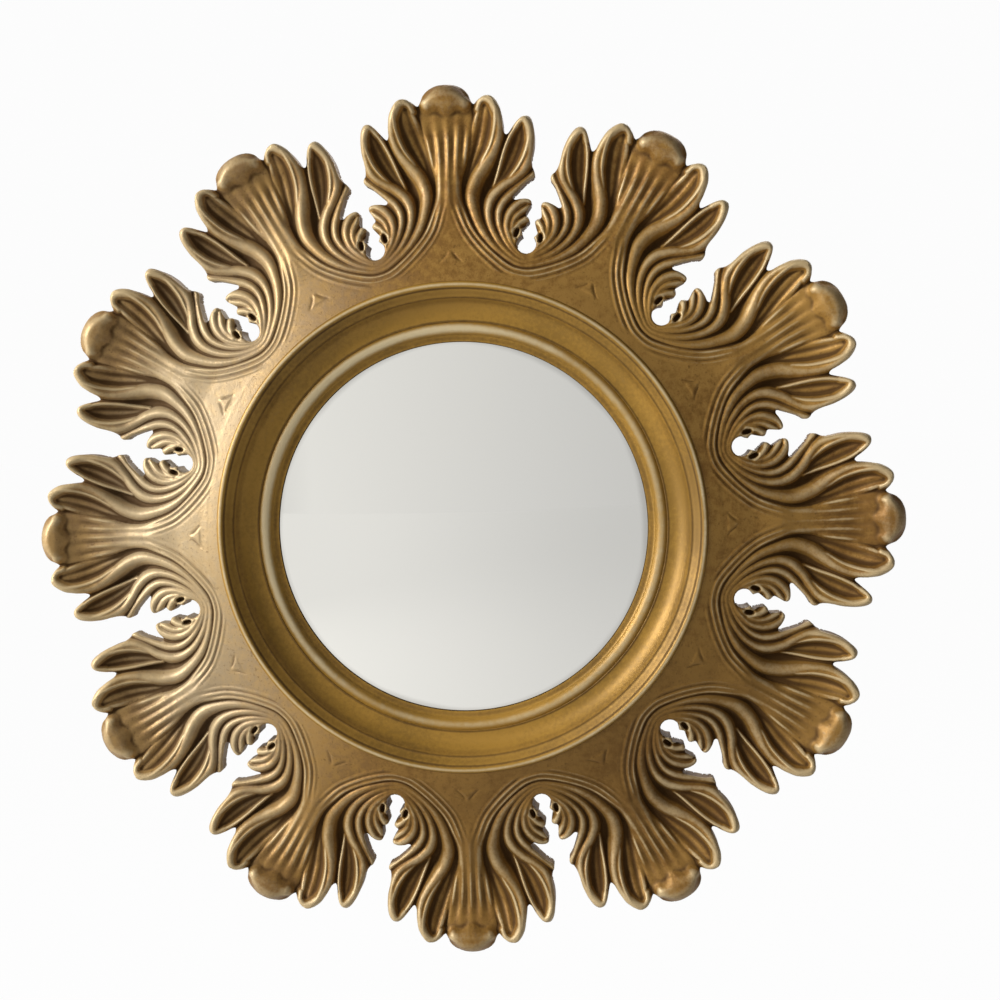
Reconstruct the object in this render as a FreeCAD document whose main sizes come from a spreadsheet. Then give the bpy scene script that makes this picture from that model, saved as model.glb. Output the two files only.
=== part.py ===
"""Convex butlers mirror: a ring of carved plumes round a turned moulding and a domed glass.

Every piece is drawn flat on the bench: X to the right and Y up the wall, and Z the height above
the wall plane. Its placement then stands it on the wall, so that the finished mirror faces -Y
with +Z up and the wall plane at y = 0. Angles run anticlockwise from three o'clock, as seen
from the front.
"""
import math
import os

import FreeCAD
import Part
import Sketcher
from FreeCAD import Placement, Rotation, Vector

doc = FreeCAD.newDocument("butlers_mirror")

# ---------------------------------------------------------------- driving dimensions (mm)

SIZES = [
    ("PlumeCount", 12, "plumes round the ring"),
    ("LeafLength", 120.5, "centre of the hole between two plumes to the tip of a plume, outwards"),
    ("LobeHalfWidth", 71.0, "plume axis to the outer edge of its widest lobe"),
    ("RootWidth", 21.5, "collar's edge to the centre of the hole between two plumes"),
    ("KeyholeRadius", 8.0, "hole between two plumes"),
    ("LeafletGap", 13.0, "gap between the upper leaflets of two plumes"),
    ("MouthGap", 6.4, "gap between the lower leaflets of two plumes"),
    ("LeafletReach", 35.5, "centre of the hole between two plumes to the upper leaflet"),
    ("CollarWidth", 15.0, "smooth collar round the moulding"),
    ("CollarTop", 44.0, "height of the collar where it meets the moulding"),
    ("StemHeight", 34.0, "height of a plume's stem beside the keyholes"),
    ("HollowHeight", 25.0, "height of a plume at its lowest place"),
    ("CrestHeight", 38.5, "height of the rising end of a plume"),
    ("PlumeBack", 6.0, "clearance of a plume's back from the wall beside the backing ring"),
    ("TipBack", 17.0, "clearance of a plume's back from the wall at its tip"),
    ("GrooveDepth", 6.0, "depth of the carved grooves"),
    ("GrooveWidth", 4.4, "width of the carved grooves"),
    ("SpoonRadius", 13.0, "gouge radius of the hollows in the lobes"),
    ("SpoonDepth", 4.0, "depth of the hollows in the lobes"),
    ("TipRollRadius", 9.0, "rolled end of a plume"),
    ("GlueLine", 0.1, "room between glued faces"),
    ("LapWidth", 13.0, "moulding resting on the backing ring"),
    ("BaseSetBack", 1.5, "edge of the backing ring hidden behind the holes between the plumes"),
    ("BaseThickness", 14.0, "backing ring"),
    ("BeadRadius", 2.0, "half-round bead round the moulding"),
    ("BeadShoulder", 44.2, "height at which the bead springs"),
    ("WallWidth", 8.5, "sloping inner wall of the moulding"),
    ("WallFootHeight", 38.0, "height of the foot of the inner wall"),
    ("CoveWidth", 19.0, "cove"),
    ("CoveRadius", 19.5, "hollow of the cove"),
    ("CoveFootHeight", 23.6, "height of the inner end of the cove"),
    ("TorusWidth", 14.6, "inner torus"),
    ("TorusRadius", 7.8, "round of the inner torus"),
    ("SightRadius", 156.0, "radius of the visible glass"),
    ("SightEdgeHeight", 20.0, "front of the sight edge"),
    ("SightEdgeRound", 0.9, "broken corner of the sight edge"),
    ("LipThickness", 1.8, "sight edge in front of the rebate"),
    ("RecessDepth", 5.0, "recess in the back for the board and its fittings"),
    ("GlassLap", 6.0, "domed glass behind the sight edge"),
    ("GlassCurve", 650.0, "radius of curvature of the front of the glass"),
    ("GlassThickness", 3.0, "domed glass"),
    ("RebateRoom", 1.0, "room round the glass and the board"),
    ("FeltThickness", 0.8, "felt between the sight edge and the glass"),
    ("FeltSetBack", 0.6, "felt behind the sight edge, so that it is out of sight"),
    ("SpacerWidth", 12.0, "cork ring behind the glass"),
    ("BoardThickness", 4.0, "back board"),
    ("ButtonCount", 6, "turn buttons"),
    ("ButtonSetBack", 13.0, "edge of the rebate to a turn button's pivot"),
    ("ButtonArm", 13.0, "pivot to the centre of the button's far end"),
    ("ButtonHalfWidth", 5.0, "turn button"),
    ("ButtonThickness", 1.5, "turn button"),
    ("SeatRoom", 0.3, "room under a turn button"),
    ("PivotRadius", 1.6, "shank of a turn button's screw"),
    ("PivotPlay", 0.05, "play of a turn button on its screw"),
    ("PivotHeadRadius", 3.4, "head of a turn button's screw"),
    ("PivotHeadHeight", 1.6, "head of a turn button's screw"),
    ("PivotHeadChamfer", 0.7, "head of a turn button's screw"),
    ("PivotLength", 11.0, "thread of a turn button's screw in the moulding"),
    ("DriverSlotWidth", 0.8, "slot in a screw head"),
    ("DriverSlotDepth", 0.7, "slot in a screw head"),
    ("HangerSpacing", 200.0, "between the two hanger plates"),
    ("HangerWidth", 15.0, "hanger plate"),
    ("HangerHeight", 35.0, "hanger plate"),
    ("HangerThickness", 1.5, "hanger plate"),
    ("HangerCorner", 2.5, "corner radius of a hanger plate"),
    ("EntryRadius", 4.5, "entry hole for the head of the wall screw"),
    ("EntryDrop", 4.5, "entry hole below the middle of the plate"),
    ("NeckRadius", 2.2, "half the width of the slot for the wall screw's neck"),
    ("NeckRise", 9.0, "end of the slot above the entry hole"),
    ("HeadRoomRadius", 5.5, "pocket behind a hanger plate"),
    ("HeadRoomDepth", 8.0, "pocket behind a hanger plate"),
    ("HangerScrewSpacing", 27.0, "between the two screws of a hanger plate"),
    ("HangerScrewRadius", 1.5, "shank of a hanger screw"),
    ("HangerScrewHead", 2.9, "head radius of a hanger screw"),
    ("HangerScrewLength", 11.0, "length of a hanger screw"),
    ("HangerScrewSink", 0.1, "hanger screw heads below the back of the plate"),
    ("RingScrewRadius", 1.75, "shank of the screws in the backing ring"),
    ("RingScrewHead", 3.8, "head radius of the screws in the backing ring"),
    ("RingScrewSink", 0.3, "screw heads below the back of the backing ring"),
    ("PlumeScrewInset", 13.0, "outer side of the moulding to the plume screws"),
    ("PlumeScrewLength", 28.0, "length of a plume screw"),
    ("MouldingScrewInset", 6.5, "outer side of the moulding to the moulding screws"),
    ("MouldingScrewLength", 24.0, "length of a moulding screw"),
    ("MouldingScrewCount", 6, "moulding screws"),
    ("ThreadRoom", 0.05, "room round a screw or dowel in the wood"),
    ("DowelRadius", 4.0, "dowel between two plumes"),
    ("DowelLength", 24.0, "dowel between two plumes"),
    ("DowelInset", 14.0, "outer side of the moulding to the dowels"),
    ("DowelHeight", 26.0, "dowels above the wall"),
]

sheet = doc.addObject("Spreadsheet::Sheet", "sizes")
for row, (alias, value, note) in enumerate(SIZES, start=1):
    sheet.set(f"A{row}", alias)
    sheet.set(f"B{row}", str(value))
    sheet.set(f"C{row}", note)
    sheet.setAlias(f"B{row}", alias)
doc.recompute()


class Measure:
    """A size as a number and as the expression that gives it from the sheet."""

    def __init__(self, value, text):
        self.value = float(value)
        self.text = text

    @staticmethod
    def of(other):
        return other if isinstance(other, Measure) else Measure(other, repr(float(other)))

    def __add__(self, other):
        other = Measure.of(other)
        return Measure(self.value + other.value, f"({self.text} + {other.text})")

    def __sub__(self, other):
        other = Measure.of(other)
        return Measure(self.value - other.value, f"({self.text} - {other.text})")

    def __mul__(self, other):
        other = Measure.of(other)
        return Measure(self.value * other.value, f"({self.text} * {other.text})")

    def __truediv__(self, other):
        other = Measure.of(other)
        return Measure(self.value / other.value, f"({self.text} / {other.text})")

    def root(self):
        return Measure(math.sqrt(self.value), f"sqrt({self.text})")

    def cosine(self):
        return Measure(math.cos(math.radians(self.value)), f"cos({self.text})")

    def sine(self):
        return Measure(math.sin(math.radians(self.value)), f"sin({self.text})")


def size(alias):
    return Measure(sheet.get(alias), f"sizes.{alias}")


def number(alias):
    return float(sheet.get(alias))


ZERO = Measure(0.0, "0")
BELOW = Measure(-1.0, "-1")
HALF_TURN = Measure(180.0, "180")
TOP_ANGLE = 90.0


def on_the_wall(angle=0.0):
    """Placement that turns a piece by an angle on the bench and then stands it on the wall."""
    stand = Placement(Vector(0, 0, 0), Rotation(Vector(1, 0, 0), 90))
    return stand.multiply(Placement(Vector(0, 0, 0), Rotation(Vector(0, 0, 1), angle)))


# ---------------------------------------------------------------- sketches with bound sizes


def new_body(label):
    body = doc.addObject("PartDesign::Body", label)
    body.Label = label
    return body


def sketch_on(body, role, name, lift=None):
    """Sketch on one of a body's own planes, lifted along the plane's normal."""
    plane = next(f for f in body.Origin.OriginFeatures if f.Role == role)
    sketch = body.newObject("Sketcher::SketchObject", name)
    sketch.AttachmentSupport = [(plane, "")]
    sketch.MapMode = "FlatFace"
    if lift is not None:
        sketch.setExpression(".AttachmentOffset.Base.z", lift.text)
    return sketch


def bind(sketch, constraint, measure):
    index = sketch.addConstraint(constraint)
    sketch.setExpression(f"Constraints[{index}]", measure.text)


def pin(sketch, geometry, point, x, y):
    """Hold one point of a sketch at a place given by two sizes."""
    for kind, measure in (("DistanceX", x), ("DistanceY", y)):
        bind(sketch, Sketcher.Constraint(kind, -1, 1, geometry, point, measure.value), measure)


def is_half_circle(start, end, radius):
    return abs(2 * radius - (end - start).Length) < 1e-6


def arc_between(start, end, radius, side):
    """Anticlockwise arc between two places; side +1 bulges to the left of the way from start to end."""
    chord = end - start
    half = chord.Length / 2
    across = Vector(-chord.y, chord.x, 0) / chord.Length
    centre = (start + end) / 2 - across * side * math.sqrt(max(radius**2 - half**2, 0.0))
    crown = (start + end) / 2 + across * side * (radius - (centre - (start + end) / 2).Length)
    return Part.Arc(start, crown, end) if side < 0 else Part.Arc(end, crown, start)


def outline(sketch, corners):
    """Closed outline through corners (x, y, bulge): bulge is None or (radius, side) of the arc that
    leads to the next corner. A half circle joins two corners at the same height, and its centre
    lies level with them."""
    places = [Vector(x.value, y.value, 0) for x, y, _ in corners]
    ends = []
    for index, (_, _, bulge) in enumerate(corners):
        start, end = places[index], places[(index + 1) % len(places)]
        if bulge is None:
            sketch.addGeometry(Part.LineSegment(start, end), False)
            ends.append((1, 2))
            continue
        radius, side = bulge
        sketch.addGeometry(arc_between(start, end, radius.value, side), False)
        ends.append((1, 2) if side < 0 else (2, 1))
    for index in range(len(corners)):
        following = (index + 1) % len(corners)
        sketch.addConstraint(
            Sketcher.Constraint("Coincident", index, ends[index][1], following, ends[following][0])
        )
    for index, (x, y, bulge) in enumerate(corners):
        pin(sketch, index, ends[index][0], x, y)
        if bulge is None:
            continue
        if is_half_circle(places[index], places[(index + 1) % len(places)], bulge[0].value):
            bind(sketch, Sketcher.Constraint("DistanceY", -1, 1, index, 3, y.value), y)
        else:
            bind(sketch, Sketcher.Constraint("Radius", index, bulge[0].value), bulge[0])


def circle(sketch, x, y, radius):
    index = sketch.addGeometry(Part.Circle(Vector(x.value, y.value, 0), Vector(0, 0, 1), radius.value), False)
    pin(sketch, index, 3, x, y)
    bind(sketch, Sketcher.Constraint("Radius", index, radius.value), radius)


def turned(body, name, corners, kind="Revolution", place=(ZERO, ZERO)):
    """Turned solid, or turned cut, from a section of (distance from the axis, height, bulge).

    The axis stands upright on the bench at a place (x, y).
    """
    x, y = place
    sketch = sketch_on(body, "XZ_Plane", f"{name}_section", ZERO - y)
    outline(sketch, [(across + x, height, bulge) for across, height, bulge in corners])
    axis = sketch.addGeometry(Part.LineSegment(Vector(x.value, 0, 0), Vector(x.value, 1, 0)), True)
    sketch.addConstraint(Sketcher.Constraint("Vertical", axis))
    pin(sketch, axis, 1, x, ZERO)
    sketch.addConstraint(Sketcher.Constraint("DistanceY", axis, 1, axis, 2, 1.0))
    feature = body.newObject(f"PartDesign::{kind}", name)
    feature.Profile = sketch
    feature.ReferenceAxis = (sketch, ["Axis0"])
    feature.Angle = 360.0
    return feature


def raised(body, name, sketch, length):
    """Plate of a thickness, from an outline."""
    pad = body.newObject("PartDesign::Pad", name)
    pad.Profile = sketch
    pad.setExpression("Length", length.text)
    return pad


def sunk(body, name, sketch, depth):
    """Pocket into a piece from its back, upwards from an outline."""
    pocket = body.newObject("PartDesign::Pocket", name)
    pocket.Profile = sketch
    pocket.Reversed = True
    pocket.setExpression("Length", depth.text)
    return pocket


def repeated(body, name, features, count):
    """The same features at equal angles round the mirror's centre."""
    pattern = body.newObject("PartDesign::PolarPattern", name)
    pattern.Originals = features
    axis = next(f for f in body.Origin.OriginFeatures if f.Role == "Z_Axis")
    pattern.Axis = (axis, [""])
    pattern.Angle = 360.0
    pattern.setExpression("Occurrences", count.text)
    body.Tip = pattern
    return pattern


# ---------------------------------------------------------------- places and sections that pieces share


def round_the_ring(radius, angle):
    """Place at a distance and an angle from the mirror's centre."""
    return (radius * angle.cosine(), radius * angle.sine())


THREAD_ROOM = size("ThreadRoom")
GLUE_LINE = size("GlueLine")

# Radii, from the glass outwards.
SIGHT_RADIUS = size("SightRadius")
GLASS_RADIUS = SIGHT_RADIUS + size("GlassLap")
REBATE_RADIUS = GLASS_RADIUS + size("RebateRoom")
PIVOT_RADIUS = REBATE_RADIUS + size("ButtonSetBack")
COVE_FOOT = SIGHT_RADIUS + size("SightEdgeRound") + size("TorusWidth")
WALL_FOOT = COVE_FOOT + size("CoveWidth")
BEAD_INNER = WALL_FOOT + size("WallWidth")
MOULDING_OUTER = BEAD_INNER + size("BeadRadius") * 2
COLLAR_EDGE = MOULDING_OUTER + size("CollarWidth")
KEYHOLE_PLACE = COLLAR_EDGE + size("RootWidth")
TIP_RADIUS = KEYHOLE_PLACE + size("LeafLength")
BASE_INNER = MOULDING_OUTER - size("LapWidth")
BASE_OUTER = KEYHOLE_PLACE - size("KeyholeRadius") - size("BaseSetBack")
DOWEL_PLACE = MOULDING_OUTER + size("DowelInset")

BUTT_ANGLE = HALF_TURN / size("PlumeCount")
PLUME_SCREW_PLACE = round_the_ring(MOULDING_OUTER + size("PlumeScrewInset"), BUTT_ANGLE / 2)
MOULDING_SCREW_PLACE = round_the_ring(MOULDING_OUTER - size("MouldingScrewInset"), BUTT_ANGLE)
PIVOT_PLACE = round_the_ring(PIVOT_RADIUS, HALF_TURN / size("ButtonCount"))
LIP_BACK = size("SightEdgeHeight") - size("LipThickness")
BUTTON_SEAT = size("RecessDepth") - size("SeatRoom")
DOME_TOP = (
    LIP_BACK
    - size("FeltThickness")
    + size("GlassCurve")
    - (size("GlassCurve") * size("GlassCurve") - SIGHT_RADIUS * SIGHT_RADIUS).root()
)


def dome_height(radius, depth):
    """Height of the surface that lies a depth behind the front of the glass, at a radius."""
    curve = size("GlassCurve") - depth
    return DOME_TOP - size("GlassCurve") + (curve * curve - radius * radius).root()


def countersunk(shank, head, sink, length):
    """Section of a countersunk screw driven in from the back."""
    neck = sink + (head - shank)
    return [
        (ZERO, sink, None),
        (head, sink, None),
        (shank, neck, None),
        (shank, sink + length, None),
        (ZERO, sink + length, None),
    ]


def hole_for(screw):
    """Section of the hole for a screw: its own section with room round it, open at the back."""
    head, sink = screw[1][0] + THREAD_ROOM, screw[1][1]
    shank, neck = screw[2][0] + THREAD_ROOM, screw[2][1]
    bottom = screw[3][1] + THREAD_ROOM
    return [
        (ZERO, BELOW, None),
        (head, BELOW, None),
        (head, sink, None),
        (shank, neck, None),
        (shank, bottom, None),
        (ZERO, bottom, None),
    ]


def ring_screw(length):
    """Section of a screw of the backing ring."""
    return countersunk(size("RingScrewRadius"), size("RingScrewHead"), size("RingScrewSink"), size(length))


PLUME_SCREW = ring_screw("PlumeScrewLength")
MOULDING_SCREW = ring_screw("MouldingScrewLength")
HANGER_SCREW = countersunk(
    size("HangerScrewRadius"), size("HangerScrewHead"), size("HangerScrewSink"), size("HangerScrewLength")
)
HANGER_SIDES = [("left", ZERO - size("HangerSpacing") / 2), ("right", size("HangerSpacing") / 2)]
HANGER_PLACE = (BASE_INNER + BASE_OUTER) / 2
HANGER_RISE = (HANGER_PLACE * HANGER_PLACE - size("HangerSpacing") * size("HangerSpacing") / 4).root()
HANGER_SCREW_ROWS = [
    ("low", HANGER_RISE - size("HangerScrewSpacing") / 2),
    ("high", HANGER_RISE + size("HangerScrewSpacing") / 2),
]


def plate_outline(sketch, x, room):
    """Outline of a hanger plate, or of its mortise when there is room round it."""
    half = size("HangerWidth") / 2 + room
    tall = size("HangerHeight") / 2 + room
    corner = size("HangerCorner")
    middle = HANGER_RISE
    outline(
        sketch,
        [
            (x - half + corner, middle - tall, None),
            (x + half - corner, middle - tall, (corner, -1)),
            (x + half, middle - tall + corner, None),
            (x + half, middle + tall - corner, (corner, -1)),
            (x + half - corner, middle + tall, None),
            (x - half + corner, middle + tall, (corner, -1)),
            (x - half, middle + tall - corner, None),
            (x - half, middle - tall + corner, (corner, -1)),
        ],
    )


def neck_outline(sketch, x, radius):
    """Upright slot with round ends, from the entry hole of a hanger plate to the top of its neck."""
    low = HANGER_RISE - size("EntryDrop")
    high = low + size("NeckRise")
    outline(
        sketch,
        [
            (x + radius, low, None),
            (x + radius, high, (radius, -1)),
            (x - radius, high, None),
            (x - radius, low, (radius, -1)),
        ],
    )


# ---------------------------------------------------------------- moulding, backing ring and glass


def make_moulding_ring():
    """Turned ring: bead, inner wall, cove, torus and sight edge, with the rebate behind."""
    body = new_body("moulding_ring")
    bead = size("BeadRadius")
    lap = BASE_INNER - GLUE_LINE
    shoulder = size("BaseThickness") + GLUE_LINE
    section = [
        (REBATE_RADIUS, size("RecessDepth"), None),
        (lap, size("RecessDepth"), None),
        (lap, shoulder, None),
        (MOULDING_OUTER, shoulder, None),
        (MOULDING_OUTER, size("BeadShoulder"), (bead, -1)),
        (BEAD_INNER, size("BeadShoulder"), None),
        (WALL_FOOT, size("WallFootHeight"), (size("CoveRadius"), 1)),
        (COVE_FOOT, size("CoveFootHeight"), (size("TorusRadius"), -1)),
        (SIGHT_RADIUS + size("SightEdgeRound"), size("SightEdgeHeight"), None),
        (SIGHT_RADIUS, size("SightEdgeHeight") - size("SightEdgeRound"), None),
        (SIGHT_RADIUS, LIP_BACK, None),
        (REBATE_RADIUS, LIP_BACK, None),
    ]
    turned(body, "turned_ring", section)
    shank = size("PivotRadius") + THREAD_ROOM
    bottom = BUTTON_SEAT + size("PivotLength") + THREAD_ROOM
    pivot_hole = [(ZERO, BELOW, None), (shank, BELOW, None), (shank, bottom, None), (ZERO, bottom, None)]
    hole = turned(body, "pivot_hole", pivot_hole, "Groove", PIVOT_PLACE)
    repeated(body, "pivot_holes", [hole], size("ButtonCount"))
    hole = turned(body, "screw_hole", hole_for(MOULDING_SCREW), "Groove", MOULDING_SCREW_PLACE)
    repeated(body, "screw_holes", [hole], size("MouldingScrewCount"))
    body.Placement = on_the_wall()
    return body


def make_base_ring():
    """Flat wooden ring behind the plumes, with a mortise and a head pocket for each hanger plate."""
    body = new_body("base_ring")
    section = [
        (BASE_INNER, ZERO, None),
        (BASE_OUTER, ZERO, None),
        (BASE_OUTER, size("BaseThickness"), None),
        (BASE_INNER, size("BaseThickness"), None),
    ]
    turned(body, "flat_ring", section)
    hole = turned(body, "plume_screw_hole", hole_for(PLUME_SCREW), "Groove", PLUME_SCREW_PLACE)
    repeated(body, "plume_screw_holes", [hole], size("PlumeCount") * 2)
    hole = turned(body, "moulding_screw_hole", hole_for(MOULDING_SCREW), "Groove", MOULDING_SCREW_PLACE)
    repeated(body, "moulding_screw_holes", [hole], size("MouldingScrewCount"))
    for side, x in HANGER_SIDES:
        mortise = sketch_on(body, "XY_Plane", f"mortise_outline_{side}")
        plate_outline(mortise, x, GLUE_LINE)
        sunk(body, f"mortise_{side}", mortise, size("HangerThickness"))
        head_room = sketch_on(body, "XY_Plane", f"head_room_outline_{side}")
        neck_outline(head_room, x, size("HeadRoomRadius"))
        sunk(body, f"head_room_{side}", head_room, size("HangerThickness") + size("HeadRoomDepth"))
        for row_name, y in HANGER_SCREW_ROWS:
            turned(body, f"hanger_hole_{side}_{row_name}", hole_for(HANGER_SCREW), "Groove", (x, y))
    body.Placement = on_the_wall()
    return body


def make_mirror_plate():
    """Domed glass of an even thickness."""
    body = new_body("mirror_plate")
    thickness = size("GlassThickness")
    rim = GLASS_RADIUS
    section = [
        (ZERO, DOME_TOP - thickness, None),
        (ZERO, DOME_TOP, (size("GlassCurve"), 1)),
        (rim, dome_height(rim, ZERO), None),
        (rim, dome_height(rim, thickness), (size("GlassCurve") - thickness, -1)),
    ]
    turned(body, "dome", section)
    body.Placement = on_the_wall()
    return body


def make_seat_felt():
    """Felt strip between the back of the sight edge and the front of the glass."""
    body = new_body("seat_felt")
    inner = SIGHT_RADIUS + size("FeltSetBack")
    outer = GLASS_RADIUS
    front = ZERO - GLUE_LINE / 2
    section = [
        (inner, dome_height(inner, front), (size("GlassCurve") - front, 1)),
        (outer, dome_height(outer, front), None),
        (outer, LIP_BACK, None),
        (inner, LIP_BACK, None),
    ]
    turned(body, "strip", section)
    body.Placement = on_the_wall()
    return body


def make_spacer_ring():
    """Cork ring between the board and the back of the glass, cut to the dome."""
    body = new_body("spacer_ring")
    outer = GLASS_RADIUS
    inner = outer - size("SpacerWidth")
    board_front = size("RecessDepth") + size("BoardThickness")
    behind = size("GlassThickness") + GLUE_LINE / 2
    section = [
        (inner, board_front, None),
        (outer, board_front, None),
        (outer, dome_height(outer, behind), (size("GlassCurve") - behind, -1)),
        (inner, dome_height(inner, behind), None),
    ]
    turned(body, "ring", section)
    body.Placement = on_the_wall()
    return body


def make_back_board():
    """Round board that closes the back, level with the floor of the recess."""
    body = new_body("back_board")
    sketch = sketch_on(body, "XY_Plane", "board_outline", size("RecessDepth"))
    circle(sketch, ZERO, ZERO, GLASS_RADIUS)
    raised(body, "board", sketch, size("BoardThickness"))
    body.Placement = on_the_wall()
    return body


# ---------------------------------------------------------------- turn buttons and hanger plates


def make_turn_button(index):
    """Brass button with round ends; its arm reaches inwards over the edge of the board."""
    body = new_body(f"turn_button_{index + 1}")
    sketch = sketch_on(body, "XY_Plane", f"button_outline_{index + 1}", BUTTON_SEAT - size("ButtonThickness"))
    pivot, far = PIVOT_RADIUS, PIVOT_RADIUS - size("ButtonArm")
    half = size("ButtonHalfWidth")
    near_end = sketch.addGeometry(
        Part.Arc(
            Vector(pivot.value, -half.value, 0),
            Vector((pivot + half).value, 0, 0),
            Vector(pivot.value, half.value, 0),
        ),
        False,
    )
    far_end = sketch.addGeometry(
        Part.Arc(
            Vector(far.value, half.value, 0),
            Vector((far - half).value, 0, 0),
            Vector(far.value, -half.value, 0),
        ),
        False,
    )
    upper = sketch.addGeometry(
        Part.LineSegment(Vector(pivot.value, half.value, 0), Vector(far.value, half.value, 0)), False
    )
    lower = sketch.addGeometry(
        Part.LineSegment(Vector(far.value, -half.value, 0), Vector(pivot.value, -half.value, 0)), False
    )
    for line, line_end, arc, arc_end in (
        (upper, 1, near_end, 2),
        (upper, 2, far_end, 1),
        (lower, 1, far_end, 2),
        (lower, 2, near_end, 1),
    ):
        sketch.addConstraint(Sketcher.Constraint("Tangent", line, line_end, arc, arc_end))
    pin(sketch, near_end, 3, pivot, ZERO)
    pin(sketch, far_end, 3, far, ZERO)
    bind(sketch, Sketcher.Constraint("Radius", near_end, half.value), half)
    circle(sketch, pivot, ZERO, size("PivotRadius") + size("PivotPlay"))
    raised(body, f"button_{index + 1}", sketch, size("ButtonThickness"))
    spacing = 360.0 / number("ButtonCount")
    body.Placement = on_the_wall(spacing * (index + 0.5))
    return body


def make_turn_button_screws():
    """Slotted pan-head screws on which the turn buttons swing."""
    body = new_body("turn_button_screws")
    body.AllowCompound = True
    head, chamfer = size("PivotHeadRadius"), size("PivotHeadChamfer")
    under = BUTTON_SEAT - size("ButtonThickness") - GLUE_LINE
    back = under - size("PivotHeadHeight")
    point = BUTTON_SEAT + size("PivotLength")
    section = [
        (ZERO, back, None),
        (head - chamfer, back, None),
        (head, back + chamfer, None),
        (head, under, None),
        (size("PivotRadius"), under, None),
        (size("PivotRadius"), point, None),
        (ZERO, point, None),
    ]
    screw = turned(body, "screw", section, "Revolution", PIVOT_PLACE)
    sketch = sketch_on(body, "XY_Plane", "driver_slot_outline", back)
    x, y = PIVOT_PLACE
    half = size("DriverSlotWidth") / 2
    outline(
        sketch,
        [
            (x - head, y - half, None),
            (x + head, y - half, None),
            (x + head, y + half, None),
            (x - head, y + half, None),
        ],
    )
    slot = sunk(body, "driver_slot", sketch, size("DriverSlotDepth"))
    repeated(body, "screws", [screw, slot], size("ButtonCount"))
    body.Placement = on_the_wall()
    return body


def make_hanger_plate(side, x):
    """Keyhole hanger plate, let in flush with the back of the backing ring."""
    body = new_body(f"hanger_plate_{side}")
    sketch = sketch_on(body, "XY_Plane", f"plate_outline_{side}")
    plate_outline(sketch, x, ZERO)
    raised(body, f"plate_{side}", sketch, size("HangerThickness"))
    entry = sketch_on(body, "XY_Plane", f"entry_outline_{side}")
    circle(entry, x, HANGER_RISE - size("EntryDrop"), size("EntryRadius"))
    sunk(body, f"entry_{side}", entry, size("HangerThickness"))
    neck = sketch_on(body, "XY_Plane", f"neck_outline_{side}")
    neck_outline(neck, x, size("NeckRadius"))
    sunk(body, f"neck_{side}", neck, size("HangerThickness"))
    for row_name, y in HANGER_SCREW_ROWS:
        turned(body, f"plate_hole_{side}_{row_name}", hole_for(HANGER_SCREW), "Groove", (x, y))
    body.Placement = on_the_wall()
    return body


def make_hanger_screws():
    """Two countersunk screws in each hanger plate."""
    body = new_body("hanger_screws")
    body.AllowCompound = True
    for side, x in HANGER_SIDES:
        for row_name, y in HANGER_SCREW_ROWS:
            turned(body, f"hanger_screw_{side}_{row_name}", HANGER_SCREW, "Revolution", (x, y))
    body.Placement = on_the_wall()
    return body


def make_ring_screws(label, section, place, count):
    """A ring of countersunk screws driven in through the back of the backing ring."""
    body = new_body(label)
    body.AllowCompound = True
    screw = turned(body, f"{label}_first", section, "Revolution", place)
    repeated(body, f"{label}_all", [screw], count)
    body.Placement = on_the_wall()
    return body


def make_joint_dowels():
    """A dowel across each butt joint between two plumes."""
    body = new_body("joint_dowels")
    body.AllowCompound = True
    sketch = sketch_on(body, "XZ_Plane", "dowel_end")
    circle(sketch, DOWEL_PLACE, size("DowelHeight"), size("DowelRadius"))
    dowel = raised(body, "dowel", sketch, size("DowelLength"))
    dowel.Midplane = True
    repeated(body, "dowels", [dowel], size("PlumeCount"))
    body.Placement = on_the_wall(BUTT_ANGLE.value)
    return body


# ---------------------------------------------------------------- carved plumes

# A plume is carved with its axis along X, its root at the moulding and its tip outwards. Places on
# it are given as (along, across): along is 0 level with the holes between the plumes, 1 at the tip
# and -1 at the collar's edge, and across is 1 at the outer edge of the widest lobe.

ROOT = MOULDING_OUTER.value
COLLAR = COLLAR_EDGE.value
LEAF_START = KEYHOLE_PLACE.value
LEAF_LENGTH = number("LeafLength")
SPAN = number("LobeHalfWidth")
BUTT = math.radians(BUTT_ANGLE.value)

# The lobes of one side, from the rolled tip down to the lower leaflet: (middle of the edge, its end).
LOBE_EDGES = [
    ((0.974, 0.19), (0.872, 0.30)),
    ((0.918, 0.39), (0.912, 0.49)),
    ((0.826, 0.62), (0.686, 0.66)),
    ((0.735, 0.79), (0.760, 0.91)),
    ((0.652, 1.00), (0.478, 0.945)),
    ((0.430, 0.935), (0.396, 0.960)),
    ((0.336, 0.845), (0.262, 0.715)),
]

# Carved grooves of one side, each a path from near the collar out to a notch between two lobes.
STEM_GROOVE = [
    (-1.22, 0.72), (-0.86, 0.59), (-0.35, 0.44), (0.06, 0.30), (0.19, 0.22),
    (0.35, 0.18), (0.50, 0.225), (0.65, 0.30), (0.785, 0.345), (0.86, 0.315),
]
RIDGE_GROOVE = [
    (-1.10, 0.84), (-0.84, 0.665), (-0.35, 0.51), (0.06, 0.41), (0.19, 0.37),
    (0.30, 0.40), (0.40, 0.45), (0.52, 0.56), (0.635, 0.645),
]
LEAFLET_GROOVE = [
    (-0.90, 0.86), (-0.63, 0.71), (-0.21, 0.613), (0.054, 0.556), (0.16, 0.563),
    (0.25, 0.613), (0.335, 0.70), (0.37, 0.815),
]
GROOVES = [STEM_GROOVE, RIDGE_GROOVE, LEAFLET_GROOVE]
SPOONS = [(0.765, 0.475), (0.625, 0.82)]

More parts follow.
